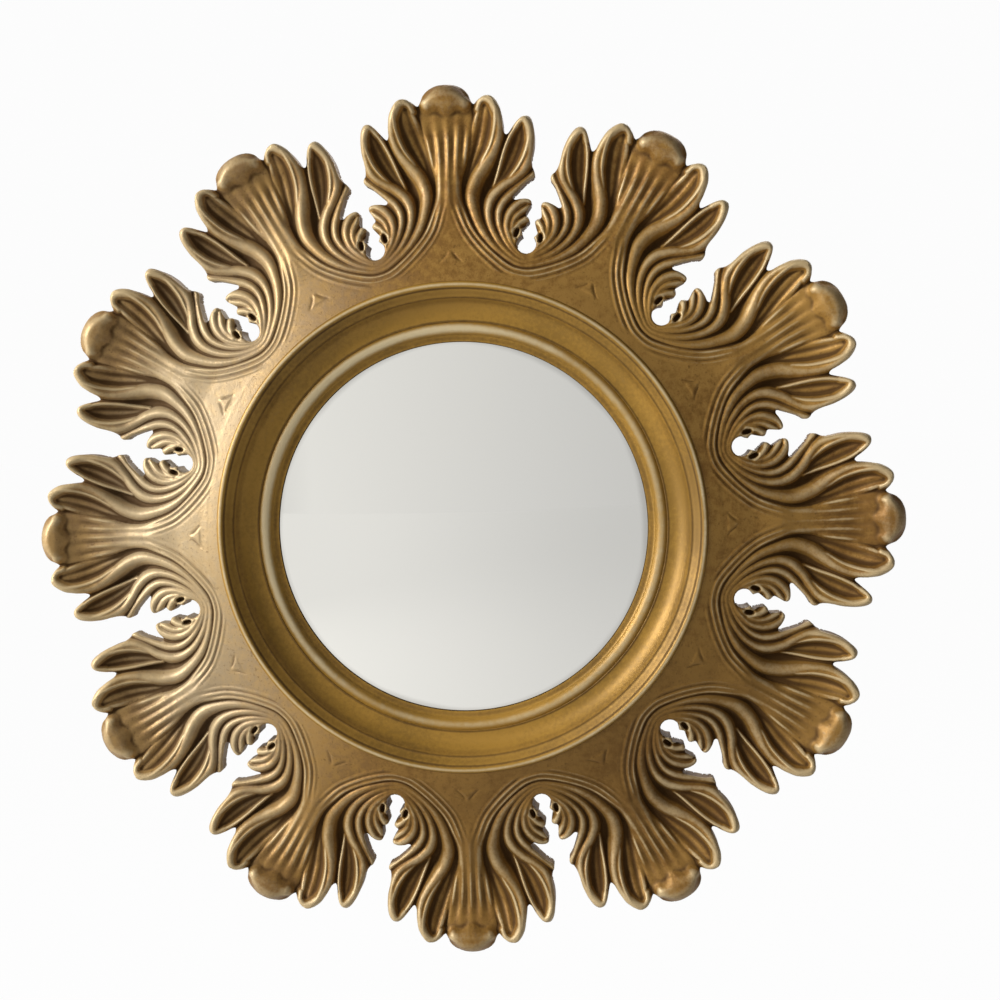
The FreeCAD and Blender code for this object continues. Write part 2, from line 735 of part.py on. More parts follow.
# How the leaflets, the front curve, the grooves and the rolled tip are shaped, as shares of the
# leaflet's reach, the leaf's length, the groove's width and the roll's radius.
NOTCH_REACH, NOTCH_GAP = 0.70, 1.10
LOWER_LEAFLET_REACH = 0.52
LEAFLET_SWELL = 0.05
HOLLOW_PLACE, CREST_PLACE, CURVE_END = 0.42, 0.90, 1.06
GROOVE_END_WIDTH = 0.40
ROLL_SINK = 0.72
CREASE_PLACE, CREASE_RADIUS, CREASE_LENGTH = 1.15, 0.30, 2.80
# Where the lower leaflet meets the hole between two plumes, and a place on the way round it.
HOLE_START_ANGLE, HOLE_SIDE_ANGLE = -50, -115


def on_plume(along, across):
    """Place on a plume from its shares along and across."""
    reach = LEAF_LENGTH if along > 0 else LEAF_START - COLLAR
    return Vector(LEAF_START + along * reach, across * SPAN, 0)


def beside_butt(along, away):
    """Place at a distance from the mirror's centre along the butt line, and away from that line."""
    return Vector(
        along * math.cos(BUTT) + away * math.sin(BUTT), along * math.sin(BUTT) - away * math.cos(BUTT), 0
    )


def round_keyhole(angle):
    """Place on the edge of the hole between two plumes; angle 0 points away from the mirror."""
    turn = BUTT + math.radians(angle)
    radius = number("KeyholeRadius")
    return beside_butt(LEAF_START, 0) + Vector(radius * math.cos(turn), radius * math.sin(turn), 0)


def plume_side():
    """Edges of one side of a plume's outline, from the middle of its tip to the moulding."""
    here = on_plume(1.0, 0.0)
    edges = []
    for middle, end in LOBE_EDGES:
        edges.append(Part.Arc(here, on_plume(*middle), on_plume(*end)).toShape())
        here = on_plume(*end)
    leaflet = number("LeafletGap") / 2
    mouth = number("MouthGap") / 2
    reach = number("LeafletReach")
    upper_tip = beside_butt(LEAF_START + reach, leaflet)
    notch = beside_butt(LEAF_START + reach * NOTCH_REACH, leaflet * NOTCH_GAP)
    lower_tip = beside_butt(LEAF_START + reach * LOWER_LEAFLET_REACH, mouth)
    upper_edge = (here + upper_tip) / 2 + Vector(reach * LEAFLET_SWELL, 0, 0)
    edges.append(Part.Arc(here, upper_edge, upper_tip).toShape())
    edges.append(Part.LineSegment(upper_tip, notch).toShape())
    edges.append(Part.LineSegment(notch, lower_tip).toShape())
    edges.append(Part.LineSegment(lower_tip, round_keyhole(HOLE_START_ANGLE)).toShape())
    glue = number("GlueLine") / 2
    inner = LEAF_START - math.sqrt(number("KeyholeRadius") ** 2 - glue**2)
    joint_top = beside_butt(inner, glue)
    joint_root = beside_butt(ROOT + number("GlueLine"), glue)
    hole_start, hole_side = round_keyhole(HOLE_START_ANGLE), round_keyhole(HOLE_SIDE_ANGLE)
    edges.append(Part.Arc(hole_start, hole_side, joint_top).toShape())
    edges.append(Part.LineSegment(joint_top, joint_root).toShape())
    return edges, joint_root


def plume_outline():
    """Flat face inside the whole outline of a plume."""
    side, root = plume_side()
    mirrored = [edge.mirror(Vector(0, 0, 0), Vector(0, 1, 0)) for edge in side]
    foot = Part.Arc(
        root, Vector(ROOT + number("GlueLine"), 0, 0), Vector(root.x, -root.y, 0)
    ).toShape()
    wire = Part.Wire(Part.__sortEdges__(side + [foot] + mirrored))
    return Part.Face(wire)


def front_curve(depth=0.0):
    """Section of a plume's front from the moulding to past its tip, lowered by a depth."""
    places = [
        (ROOT - number("BeadRadius"), number("CollarTop")),
        (COLLAR, (number("CollarTop") + number("StemHeight")) / 2),
        (LEAF_START, number("StemHeight")),
        (LEAF_START + HOLLOW_PLACE * LEAF_LENGTH, number("HollowHeight")),
        (LEAF_START + CREST_PLACE * LEAF_LENGTH, number("CrestHeight")),
        (LEAF_START + CURVE_END * LEAF_LENGTH, number("CrestHeight") - number("TipRollRadius")),
    ]
    curve = Part.BSplineCurve()
    curve.interpolate([Vector(radius, 0, height - depth) for radius, height in places])
    return curve


def front_height(radius):
    """Height of a plume's front at a distance from the mirror's centre."""
    reach = number("CollarTop") * 4
    upright = Part.LineSegment(Vector(radius, 0, -reach), Vector(radius, 0, reach))
    return front_curve().toShape().distToShape(upright.toShape())[1][0][0].z


def turned_front(depth, back, tip_back):
    """Solid of revolution between a sloping back and the front lowered by a depth."""
    curve = front_curve(depth)
    start, end = curve.StartPoint, curve.EndPoint
    foot_start, foot_end = Vector(start.x, 0, back), Vector(end.x, 0, tip_back)
    section = Part.Face(
        Part.Wire(
            [
                curve.toShape(),
                Part.LineSegment(end, foot_end).toShape(),
                Part.LineSegment(foot_end, foot_start).toShape(),
                Part.LineSegment(foot_start, start).toShape(),
            ]
        )
    )
    return section.revolve(Vector(0, 0, 0), Vector(0, 0, 1), 360)


def groove_band(path):
    """Flat band round a groove's path, narrower at its two ends."""
    places = [on_plume(*place) for place in path]
    half = number("GrooveWidth") / 2
    sides = ([], [])
    for index, place in enumerate(places):
        before = places[max(index - 1, 0)]
        after = places[min(index + 1, len(places) - 1)]
        way = (after - before).normalize()
        width = half * (GROOVE_END_WIDTH if index in (0, len(places) - 1) else 1.0)
        across = Vector(-way.y, way.x, 0) * width
        sides[0].append(place + across)
        sides[1].append(place - across)
    left, right = Part.BSplineCurve(), Part.BSplineCurve()
    left.interpolate(sides[0])
    right.interpolate(sides[1][::-1])
    closing = Part.LineSegment(sides[0][-1], sides[1][-1]).toShape()
    opening = Part.LineSegment(sides[1][0], sides[0][0]).toShape()
    return Part.Face(Part.Wire([left.toShape(), closing, right.toShape(), opening]))


def carve_grooves(blank):
    """Cut the grooves of both sides down to the lowered front."""
    tall = Vector(0, 0, number("CollarTop") * 2)
    bands = []
    for path in GROOVES:
        prism = groove_band(path).extrude(tall)
        bands += [prism, prism.mirror(Vector(0, 0, 0), Vector(0, 1, 0))]
    below = -number("CollarTop")
    floor = turned_front(number("GrooveDepth"), below, below)
    return blank.cut([band.cut(floor) for band in bands])


def carve_spoons(blank):
    """Gouge a hollow into the two large lobes of each side."""
    radius = number("SpoonRadius")
    gouges = []
    for along, across in SPOONS:
        place = on_plume(along, across)
        lift = front_height(math.hypot(place.x, place.y)) + radius - number("SpoonDepth")
        for side in (1, -1):
            gouges.append(Part.makeSphere(radius, Vector(place.x, side * place.y, lift)))
    return blank.cut(gouges)


def tip_roll(blank):
    """Add the rolled end of the plume, with a crease on its inner side."""
    radius = number("TipRollRadius")
    middle = TIP_RADIUS.value - radius - number("GlueLine")
    height = front_height(middle) - radius * ROLL_SINK
    crease_place = middle - radius * CREASE_PLACE
    crease_length = radius * CREASE_LENGTH
    crease = Part.makeCylinder(
        radius * CREASE_RADIUS,
        crease_length,
        Vector(crease_place, -crease_length / 2, front_height(crease_place)),
        Vector(0, 1, 0),
    )
    roll = Part.makeCylinder(radius, radius * 2, Vector(middle, -radius, height), Vector(0, 1, 0))
    ends = [Part.makeSphere(radius, Vector(middle, side * radius, height)) for side in (1, -1)]
    return blank.cut(crease).fuse([roll] + ends)


def drill_plume(blank):
    """Pilot holes for the two screws from behind, and a hole for half a dowel in each butt face."""
    room = number("ThreadRoom")
    bottom = PLUME_SCREW[3][1].value + room
    screw_x, screw_y = (measure.value for measure in PLUME_SCREW_PLACE)
    deep = number("DowelLength") / 2 + room
    dowel_start = Vector(
        DOWEL_PLACE.value * math.cos(BUTT), DOWEL_PLACE.value * math.sin(BUTT), number("DowelHeight")
    )
    inward = Vector(math.sin(BUTT), -math.cos(BUTT), 0)
    drills = []
    for side in (1, -1):
        drills.append(
            Part.makeCylinder(number("RingScrewRadius") + room, bottom, Vector(screw_x, side * screw_y, 0))
        )
        drills.append(
            Part.makeCylinder(
                number("DowelRadius") + room,
                deep,
                Vector(dowel_start.x, side * dowel_start.y, dowel_start.z),
                Vector(inward.x, side * inward.y, 0),
            )
        )
    return blank.cut(drills)


def carve_plume():
    """One plume: its outline raised to the turned front, carved, rolled at the tip and drilled."""
    body = turned_front(0.0, number("PlumeBack"), number("TipBack"))
    blank = plume_outline().extrude(Vector(0, 0, number("CollarTop") * 2)).common(body)
    rabbet = Part.makeCylinder(
        BASE_OUTER.value + number("GlueLine"), number("BaseThickness") + number("GlueLine")
    )
    blank = blank.cut(rabbet)
    for step in (carve_grooves, carve_spoons, tip_roll, drill_plume):
        blank = step(blank)
    return blank.removeSplitter()


def make_plumes():
    """The ring of plumes, numbered clockwise from twelve o'clock."""
    carved = carve_plume()
    step = 360.0 / number("PlumeCount")
    plumes = []
    for index in range(int(number("PlumeCount"))):
        plume = doc.addObject("Part::Feature", f"plume_{index + 1:02d}")
        plume.Label = plume.Name
        plume.Shape = carved.copy()
        plume.Placement = on_the_wall(TOP_ANGLE - step * index)
        plumes.append(plume)
    return plumes


# ---------------------------------------------------------------- build, check and write


def build():
    """Make every piece of the mirror."""
    pieces = make_plumes()
    pieces += [make_moulding_ring(), make_base_ring(), make_mirror_plate(), make_seat_felt()]
    pieces += [make_spacer_ring(), make_back_board()]
    pieces += [make_turn_button(index) for index in range(int(number("ButtonCount")))]
    pieces += [make_turn_button_screws()]
    pieces += [make_hanger_plate(side, x) for side, x in HANGER_SIDES]
    pieces += [make_hanger_screws()]
    pieces += [make_ring_screws("plume_screws", PLUME_SCREW, PLUME_SCREW_PLACE, size("PlumeCount") * 2)]
    pieces += [
        make_ring_screws("moulding_screws", MOULDING_SCREW, MOULDING_SCREW_PLACE, size("MouldingScrewCount"))
    ]
    pieces += [make_joint_dowels()]
    return pieces


def check(pieces):
    """Stop if a feature failed or a piece has no valid solid."""
    for item in doc.Objects:
        if "Invalid" in item.State or "Error" in item.State:
            raise RuntimeError(f"{item.Name} failed: {item.State}")
    for piece in pieces:
        if piece.Shape.isNull() or not piece.Shape.isValid() or not piece.Shape.Solids:
            raise RuntimeError(f"{piece.Label} has no valid solid")


def write(pieces):
    """Write each piece to a STEP file."""
    os.makedirs("parts", exist_ok=True)
    for piece in pieces:
        piece.Shape.exportStep(f"parts/{piece.Label}.step")
        print(piece.Label, len(piece.Shape.Solids), "solids,", round(piece.Shape.Volume), "mm3")


parts = build()
doc.recompute()
check(parts)
write(parts)
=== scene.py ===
"""Looks of a round convex wall mirror in a carved and gilded sunburst frame.

Lengths are metres, except in the carver, the moulding, the glass and the screws, which are drawn in
millimetres. The carver draws one plume on its own axes: u runs outwards from the centre of the mirror, v
across the plume, and h is the height above the wall. In the scene +X is the viewer's right, +Z is up and the
glass faces -Y.
"""

import logging
import math
from collections.abc import Callable
from dataclasses import dataclass, field
from enum import Enum

import bmesh
import bpy
import numpy as np
from mathutils import Matrix, Vector

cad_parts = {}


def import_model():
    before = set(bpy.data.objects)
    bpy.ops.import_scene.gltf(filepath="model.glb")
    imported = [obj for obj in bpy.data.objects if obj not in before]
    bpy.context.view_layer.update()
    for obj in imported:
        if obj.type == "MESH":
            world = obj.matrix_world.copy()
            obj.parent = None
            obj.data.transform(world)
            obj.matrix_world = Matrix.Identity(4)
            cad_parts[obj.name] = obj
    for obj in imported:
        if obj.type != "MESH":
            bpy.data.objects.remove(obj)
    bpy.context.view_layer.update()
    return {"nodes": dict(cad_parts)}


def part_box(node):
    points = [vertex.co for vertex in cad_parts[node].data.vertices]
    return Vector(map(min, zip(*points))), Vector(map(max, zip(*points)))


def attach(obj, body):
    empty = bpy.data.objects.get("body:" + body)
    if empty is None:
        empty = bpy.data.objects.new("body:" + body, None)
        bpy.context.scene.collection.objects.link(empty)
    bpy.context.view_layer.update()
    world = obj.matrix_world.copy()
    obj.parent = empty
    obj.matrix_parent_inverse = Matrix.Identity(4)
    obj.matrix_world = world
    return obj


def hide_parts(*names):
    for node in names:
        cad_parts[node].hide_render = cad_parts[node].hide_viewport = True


LOG = logging.getLogger("butlers_mirror")
MILLI = 0.001
FRAME_BODY = "frame"
PHOTO_SIDE = 1000
STAND_UP = Matrix.Rotation(math.pi / 2, 4, "X")
BOTH_SIDES = [1, -1]


# ------------------------------------------------------------------------------------------------- node trees


def math_node(operation: str, swapped: bool = False) -> Callable:
    """Makes an operator of wrapped sockets that adds one Math node.

    Args:
        operation: the node's operation.
        swapped: whether the other operand goes first, as in 1 - mask.

    Returns:
        The operator.
    """

    def operator(wire: "Wire", other: "Wire | float") -> "Wire":
        """Adds the node."""
        values = (other, wire) if swapped else (wire, other)
        return wire.plan.node("ShaderNodeMath", {"operation": operation}, dict(enumerate(values)))

    return operator


class Wire:
    """A node's output, which adds its own Math nodes when Python operators are used on it."""

    __add__ = math_node("ADD")
    __radd__ = math_node("ADD", swapped=True)
    __sub__ = math_node("SUBTRACT")
    __rsub__ = math_node("SUBTRACT", swapped=True)
    __mul__ = math_node("MULTIPLY")
    __rmul__ = math_node("MULTIPLY", swapped=True)
    most = math_node("MAXIMUM")

    def __init__(self, plan: "NodePlan", socket: bpy.types.NodeSocket) -> None:
        """Keeps the plan and the socket."""
        self.plan = plan
        self.socket = socket

    def spread(self, low: float, high: float, start: float = 0.0, end: float = 1.0) -> "Wire":
        """Maps low..high smoothly to start..end, clamped.

        Args:
            low: value that becomes start.
            high: value that becomes end.
            start: first result.
            end: last result.

        Returns:
            The mapped value.
        """
        inputs = {"Value": self, "From Min": low, "From Max": high, "To Min": start, "To Max": end}
        return self.plan.node("ShaderNodeMapRange", {"interpolation_type": "SMOOTHSTEP"}, inputs)


class NodePlan:
    """A tree of nodes being written."""

    row_length = 12
    spacing = (180, -220)

    def __init__(self, tree: bpy.types.NodeTree) -> None:
        """Takes a tree over, emptied."""
        self.tree = tree
        self.tree.nodes.clear()

    def add(self, kind: str, settings: dict | None = None, inputs: dict | None = None) -> bpy.types.Node:
        """Adds a node.

        Args:
            kind: the node's type.
            settings: its own settings, set first; a ramp's stops go in as "stops".
            inputs: values or links of its sockets, by name or place.

        Returns:
            The node.
        """
        row, column = divmod(len(self.tree.nodes), self.row_length)
        made = self.tree.nodes.new(kind)
        made.location = (self.spacing[0] * column, self.spacing[1] * row)
        for name, value in (settings or {}).items():
            if name == "stops":
                self._set_stops(made.color_ramp, value)
            else:
                setattr(made, name, value)
        for name, value in (inputs or {}).items():
            if isinstance(value, Wire):
                self.tree.links.new(value.socket, made.inputs[name])
            else:
                made.inputs[name].default_value = value
        return made

    def node(self, kind: str, settings: dict | None = None, inputs: dict | None = None,
             out: int | str = 0) -> Wire:
        """Adds a node as add does, and returns one of its outputs, wrapped."""
        return Wire(self, self.add(kind, settings, inputs).outputs[out])

    @staticmethod
    def _set_stops(ramp: bpy.types.ColorRamp, stops: tuple) -> None:
        """Gives a ramp its grey stops, each a place and a level."""
        while len(ramp.elements) < len(stops):
            ramp.elements.new(0.5)
        for element, (place, level) in zip(ramp.elements, stops):
            element.position = place
            element.color = (level, level, level, 1.0)

    def axis(self, vector: Wire, name: str) -> Wire:
        """One coordinate of a vector."""
        return self.node("ShaderNodeSeparateXYZ", None, {0: vector}, out=name)


class Sheet(NodePlan):
    """A material being written."""

    def __init__(self, name: str) -> None:
        """Starts an empty material."""
        self.material = bpy.data.materials.new(name)
        self.material.use_nodes = True
        super().__init__(self.material.node_tree)

    def here(self) -> Wire:
        """Object coordinates."""
        return self.node("ShaderNodeTexCoord", out="Object")

    def stretched(self, vector: Wire, scale: tuple[float, float, float]) -> Wire:
        """A vector scaled along each axis."""
        return self.node("ShaderNodeMapping", None, {"Vector": vector, "Scale": scale})

    def toward(self, place: Wire, way: tuple[float, float, float]) -> Wire:
        """How far a place lies along a direction."""
        return self.node("ShaderNodeVectorMath", {"operation": "DOT_PRODUCT"}, {0: place, 1: way}, "Value")

    def from_axis(self, place: Wire) -> Wire:
        """How far a place lies from the mirror's axis."""
        flat = self.stretched(place, (1, 0, 1))
        return self.node("ShaderNodeVectorMath", {"operation": "LENGTH"}, {0: flat}, "Value")

    def noise(self, vector: Wire, scale: float, detail: float = 3.0, rough: float = 0.5) -> Wire:
        """Fractal noise."""
        inputs = {"Vector": vector, "Scale": scale, "Detail": detail, "Roughness": rough}
        return self.node("ShaderNodeTexNoise", None, inputs)

    def attribute(self, name: str) -> Wire:
        """A number stored on the mesh."""
        return self.node("ShaderNodeAttribute", {"attribute_name": name}, out="Fac")

    def mix(self, share: "Wire | float", first: "Wire | tuple", second: "Wire | tuple") -> Wire:
        """Mixes two colours by a share of the second."""
        colours = [colour if isinstance(colour, Wire) else (*colour, 1.0) for colour in (first, second)]
        return self.node("ShaderNodeMix", {"data_type": "RGBA"}, {0: share, 6: colours[0], 7: colours[1]}, 2)

    def bump(self, height: Wire, distance: float, strength: float, below: Wire | None = None) -> Wire:
        """A bumped normal, on top of another one if given."""
        inputs = {"Height": height, "Distance": distance, "Strength": strength}
        if below is not None:
            inputs["Normal"] = below
        return self.node("ShaderNodeBump", None, inputs)

    def finish(self, **sockets: object) -> bpy.types.Material:
        """Closes the material with one Principled shader.

        Args:
            sockets: the shader's sockets, with _ for a blank.

        Returns:
            The material.
        """
        inputs = {name.replace("_", " "): value for name, value in sockets.items()}
        return self.close(self.node("ShaderNodeBsdfPrincipled", None, inputs))

    def close(self, shader: Wire) -> bpy.types.Material:
        """Links a shader to the surface and returns the material."""
        self.add("ShaderNodeOutputMaterial", None, {"Surface": shader})
        return self.material


class Growth(NodePlan):
    """A Geometry Nodes tree that turns a start mesh into a finished piece."""

    def __init__(self, name: str, sockets: dict[str, str]) -> None:
        """Starts a tree.

        Args:
            name: the tree's name.
            sockets: kind of each named input after the start mesh and the finish.
        """
        super().__init__(bpy.data.node_groups.new(name, "GeometryNodeTree"))
        face = self.tree.interface
        for label, kind in {"Start": "Geometry", **sockets, "Finish": "Material"}.items():
            face.new_socket(label, in_out="INPUT", socket_type=f"NodeSocket{kind}")
        face.new_socket("Piece", in_out="OUTPUT", socket_type="NodeSocketGeometry")
        self.inlet = self.tree.nodes.new("NodeGroupInput")

    def given(self, label: str) -> Wire:
        """One of the named inputs."""
        return Wire(self, self.inlet.outputs[label])

    def close(self, shape: Wire) -> None:
        """Ends the tree in real geometry with its finish on it."""
        real = self.node("GeometryNodeRealizeInstances", None, {"Geometry": shape})
        inputs = {"Geometry": real, "Material": self.given("Finish")}
        self.add("NodeGroupOutput", None, {"Piece": self.node("GeometryNodeSetMaterial", None, inputs)})

    def grow(self, start: bpy.types.Object, values: dict, name: str) -> bpy.types.Object:
        """Runs the tree on a mesh and keeps the result as a plain mesh.

        Args:
            start: the mesh that the tree starts from; it is removed.
            values: values of the named inputs.
            name: the result's name.

        Returns:
            The new object.
        """
        modifier = start.modifiers.new("growth", "NODES")
        modifier.node_group = self.tree
        for socket in self.tree.interface.items_tree:
            if socket.in_out == "INPUT" and socket.name in values:
                modifier[socket.identifier] = values[socket.name]
        start.update_tag()
        bpy.context.view_layer.update()
        seen = start.evaluated_get(bpy.context.evaluated_depsgraph_get())
        mesh = bpy.data.meshes.new_from_object(seen)
        mesh.name = name
        piece = bpy.data.objects.new(name, mesh)
        bpy.context.scene.collection.objects.link(piece)
        bpy.data.objects.remove(start)
        return piece


# --------------------------------------------------------------------------------------------------- finishes


@dataclass(frozen=True)
class Gilding:
    """Old oil gilding: dirt and painted shade in the hollows, pale ridges of rubbed wear and painted
    highlight, a side painted paler where the key lamp lights it, and an underside painted darker as shade.
    """

    name: str = "antique_gilding"
    gold: tuple = (0.35, 0.192, 0.045)
    deep_gold: tuple = (0.22, 0.108, 0.022)
    rubbed_and_highlight: tuple = (0.62, 0.48, 0.27)
    # painted light: the paler colour of the side that faces the key lamp
    painted_lit_side: tuple = (0.58, 0.50, 0.34)
    dirt_and_shade: tuple = (0.066, 0.029, 0.006)
    # painted shade: the darker colour of the underside
    underside_shade_colour: tuple = (0.1364, 0.06696, 0.01364)
    lit_side_way: tuple = (-0.99, 0.0, 0.10)
    dark_way: tuple = (0.42, 0.0, -0.91)
    metallic: float = 0.28
    roughness: float = 0.43
    gloss: float = 0.22

    def make(self) -> bpy.types.Material:
        """Writes the material."""
        sheet = Sheet(self.name)
        here = sheet.here()
        broad = sheet.noise(here, 9.0, 3.0)
        blotch = sheet.noise(here, 38.0, 4.0, 0.6)
        mottle = sheet.noise(here, 150.0, 4.0, 0.7)
        fine = sheet.noise(here, 420.0, 4.0, 0.65)
        grain = sheet.noise(here, 1100.0, 2.0, 0.6)
        recess = sheet.attribute("recess")
        ridge = sheet.attribute("ridge")
        away = sheet.from_axis(here)
        # painted light: the side toward the key lamp is painted paler, most of all near the ring
        lit_side_share = sheet.toward(here, self.lit_side_way) + (broad - 0.5) * 0.10 + (mottle - 0.5) * 0.10
        painted_light = lit_side_share.spread(0.03, 0.27) * away.spread(0.272, 0.330, 1.0, 0.28)
        # painted shade: the underside is painted darker, most of all near the ring
        shaded = sheet.toward(here, self.dark_way) + (broad - 0.5) * 0.10 + (blotch - 0.5) * 0.06
        underside_shade = shaded.spread(0.05, 0.25) * away.spread(0.26, 0.34, 0.62, 0.34)
        tone = sheet.mix((broad + (mottle - 0.5) * 0.9).spread(0.36, 0.68), self.gold, self.deep_gold)
        tone = sheet.mix(painted_light * 0.50, tone, self.painted_lit_side)
        tone = sheet.mix(underside_shade, tone, self.underside_shade_colour)
        # dirt in the hollows together with painted shade: the deepest carving is painted darkest brown
        dirt_and_shade = (recess + (blotch - 0.5) * 0.40).spread(0.04, 0.80)
        # rubbed wear and painted highlight: crests and carved edges are painted pale
        wear_and_highlight = (ridge + (blotch - 0.5) * 0.6 + (fine - 0.5) * 0.6).spread(0.22, 1.0)
        colour = sheet.mix(wear_and_highlight * 0.8, tone, self.rubbed_and_highlight)
        colour = sheet.mix(dirt_and_shade * 0.90, colour, self.dirt_and_shade)
        speck = fine.spread(0.56, 0.70) * (1 - wear_and_highlight) * 0.45
        colour = sheet.mix(speck, colour, self.dirt_and_shade)
        rough = self.roughness + dirt_and_shade * 0.40 + (mottle - 0.5) * 0.25
        metal = self.metallic * (1 - dirt_and_shade * 0.8) * (1 - wear_and_highlight * 0.45)
        bump = sheet.bump(grain, 0.0002, 0.35, sheet.bump(mottle + fine * 0.5, 0.0007, 0.35))
        return sheet.finish(Base_Color=colour, Roughness=rough, Metallic=metal, Normal=bump,
                            Specular_IOR_Level=self.gloss)


@dataclass(frozen=True)
class TurnedGilding:
    """The smoother, richer gilding of the turned moulding."""

    name: str = "turned_gilding"
    gold: tuple = (0.38, 0.208, 0.032)
    deep_gold: tuple = (0.2508, 0.13728, 0.02112)
    bright: tuple = (0.78, 0.66, 0.42)
    dirt_and_shade: tuple = (0.050, 0.020, 0.003)
    metallic: float = 0.24
    roughness: float = 0.42
    gloss: float = 0.30

    def make(self) -> bpy.types.Material:
        """Writes the material."""
        sheet = Sheet(self.name)
        here = sheet.here()
        broad = sheet.noise(here, 7.0, 3.0)
        blotch = sheet.noise(here, 30.0, 4.0, 0.6)
        fine = sheet.noise(here, 300.0, 4.0, 0.65)
        recess = sheet.attribute("recess")
        ridge = sheet.attribute("ridge")
        # dirt with painted shade in the moulding's hollows
        dirt_and_shade = (recess + (blotch - 0.5) * 0.35 + (fine - 0.5) * 0.2).spread(0.12, 0.95)
        wear_and_highlight = (ridge + (blotch - 0.5) * 0.35 + (fine - 0.5) * 0.3).spread(0.2, 0.9)
        tone = sheet.mix((broad + (fine - 0.5) * 0.5).spread(0.35, 0.68), self.gold, self.deep_gold)
        # pale crests: partly rubbed wear, partly painted highlight
        colour = sheet.mix(wear_and_highlight * 0.75, tone, self.bright)
        colour = sheet.mix(dirt_and_shade * 0.85, colour, self.dirt_and_shade)
        rough = self.roughness + dirt_and_shade * 0.30 + (blotch - 0.5) * 0.16
        metal = self.metallic * (1 - dirt_and_shade * 0.6) * (1 - wear_and_highlight * 0.4)
        bump = sheet.bump(fine, 0.0004, 0.2)
        return sheet.finish(Base_Color=colour, Roughness=rough, Metallic=metal, Normal=bump,
                            Specular_IOR_Level=self.gloss)


@dataclass(frozen=True)
class SilveredGlass:
    """Old silvered plate, greyed at its rim, with painted shade that makes it a little darker and cooler to
    one side.
    """

    name: str = "silvered_glass"
    light: tuple = (0.865, 0.852, 0.800)
    shade: tuple = (0.820, 0.812, 0.775)
    rim: tuple = (0.42, 0.41, 0.38)
    radius: float = 0.156
    roughness: float = 0.035

    def make(self) -> bpy.types.Material:
        """Writes the material."""
        sheet = Sheet(self.name)
        here = sheet.here()
        drift = sheet.noise(here, 9.0, 3.0)
        # painted shade: the plate is painted darker towards the right and the bottom, where its reflection is
        # darker
        turn = sheet.axis(here, "X") * 0.9 - sheet.axis(here, "Z") * 0.25 + (drift - 0.5) * 0.06
        tone = sheet.mix(turn.spread(-0.15, 0.17), self.light, self.shade)
        old = (sheet.from_axis(here) + (drift - 0.5) * 0.012).spread(self.radius * 0.965, self.radius * 1.005)
        colour = sheet.mix(old * 0.5, tone, self.rim)
        return sheet.finish(Base_Color=colour, Roughness=self.roughness + old * 0.10, Metallic=1.0)


@dataclass(frozen=True)
class BareWood:
    """Unpainted limewood, darkened by age, with its grain along one axis."""

    name: str = "bare_wood"
    pale: tuple = (0.42, 0.27, 0.145)
    dark: tuple = (0.20, 0.115, 0.055)
    along: tuple = (30.0, 220.0, 220.0)
    roughness: float = 0.78

    def make(self) -> bpy.types.Material:
        """Writes the material."""
        sheet = Sheet(self.name)
        here = sheet.here()
        lines = sheet.noise(sheet.stretched(here, self.along), 1.0, 5.0, 0.6)
        broad = sheet.noise(here, 12.0, 3.0)
        stain = (lines * 0.75 + broad * 0.35).spread(0.36, 0.72)
        colour = sheet.mix(stain, self.pale, self.dark)
        bump = sheet.bump(lines, 0.0004, 0.35)
        rough = self.roughness + (broad - 0.5) * 0.15
        return sheet.finish(Base_Color=colour, Roughness=rough, Normal=bump)


@dataclass(frozen=True)
class PressedSheet:
    """A board, cork, felt or paint: one colour broken up by fibres or crumbs."""

    name: str
    light: tuple
    dark: tuple
    crumb: float
    depth: float
    roughness: float = 0.85

    def make(self) -> bpy.types.Material:
        """Writes the material."""
        sheet = Sheet(self.name)
        here = sheet.here()
        crumbs = sheet.noise(here, self.crumb, 4.0, 0.7)
        broad = sheet.noise(here, self.crumb / 25, 3.0)
        colour = sheet.mix((crumbs * 0.8 + broad * 0.3).spread(0.42, 0.68), self.light, self.dark)
        bump = sheet.bump(crumbs, self.depth, 0.5)
        rough = self.roughness + (broad - 0.5) * 0.1
        return sheet.finish(Base_Color=colour, Roughness=rough, Normal=bump)


@dataclass(frozen=True)
class Metal:
    """Plated steel or brass with fine scratches and duller patches."""

    name: str
    colour: tuple
    tarnish: tuple
    roughness: float
    along: tuple = (300.0, 300.0, 2400.0)

    def make(self) -> bpy.types.Material:
        """Writes the material."""
        sheet = Sheet(self.name)
        here = sheet.here()
        dull = sheet.noise(here, 120.0, 4.0, 0.6).spread(0.45, 0.72)
        scratches = sheet.noise(sheet.stretched(here, self.along), 1.0, 3.0, 0.6)
        colour = sheet.mix(dull * 0.7, self.colour, self.tarnish)
        rough = self.roughness + dull * 0.25 + (scratches - 0.5) * 0.12
        bump = sheet.bump(scratches, 0.0001, 0.25)
        return sheet.finish(Base_Color=colour, Roughness=rough, Metallic=1.0, Normal=bump)


class Slot(Enum):
    """Names of three material slots; nothing in the script uses them."""

    GILT = "gilt_wood"
    GLASS = "silvered_glass"
    STEEL = "steel"


# ----------------------------------------------------------------------------------------------------- meshes


def mesh_piece(name: str, vertices: np.ndarray, faces: list, smooth: bool = True) -> bpy.types.Object:
    """Makes a mesh object at the origin.

    Args:
        name: the object's name.
        vertices: one row per vertex, in metres.
        faces: vertex numbers of each face.
        smooth: whether the faces are shaded smooth.

    Returns:
        The linked object.
    """
    mesh = bpy.data.meshes.new(name)
    mesh.from_pydata(np.asarray(vertices, float).tolist(), [], faces)
    mesh.validate()
    mesh.polygons.foreach_set("use_smooth", [smooth] * len(mesh.polygons))
    mesh.update()
    piece = bpy.data.objects.new(name, mesh)
    bpy.context.scene.collection.objects.link(piece)
    return piece


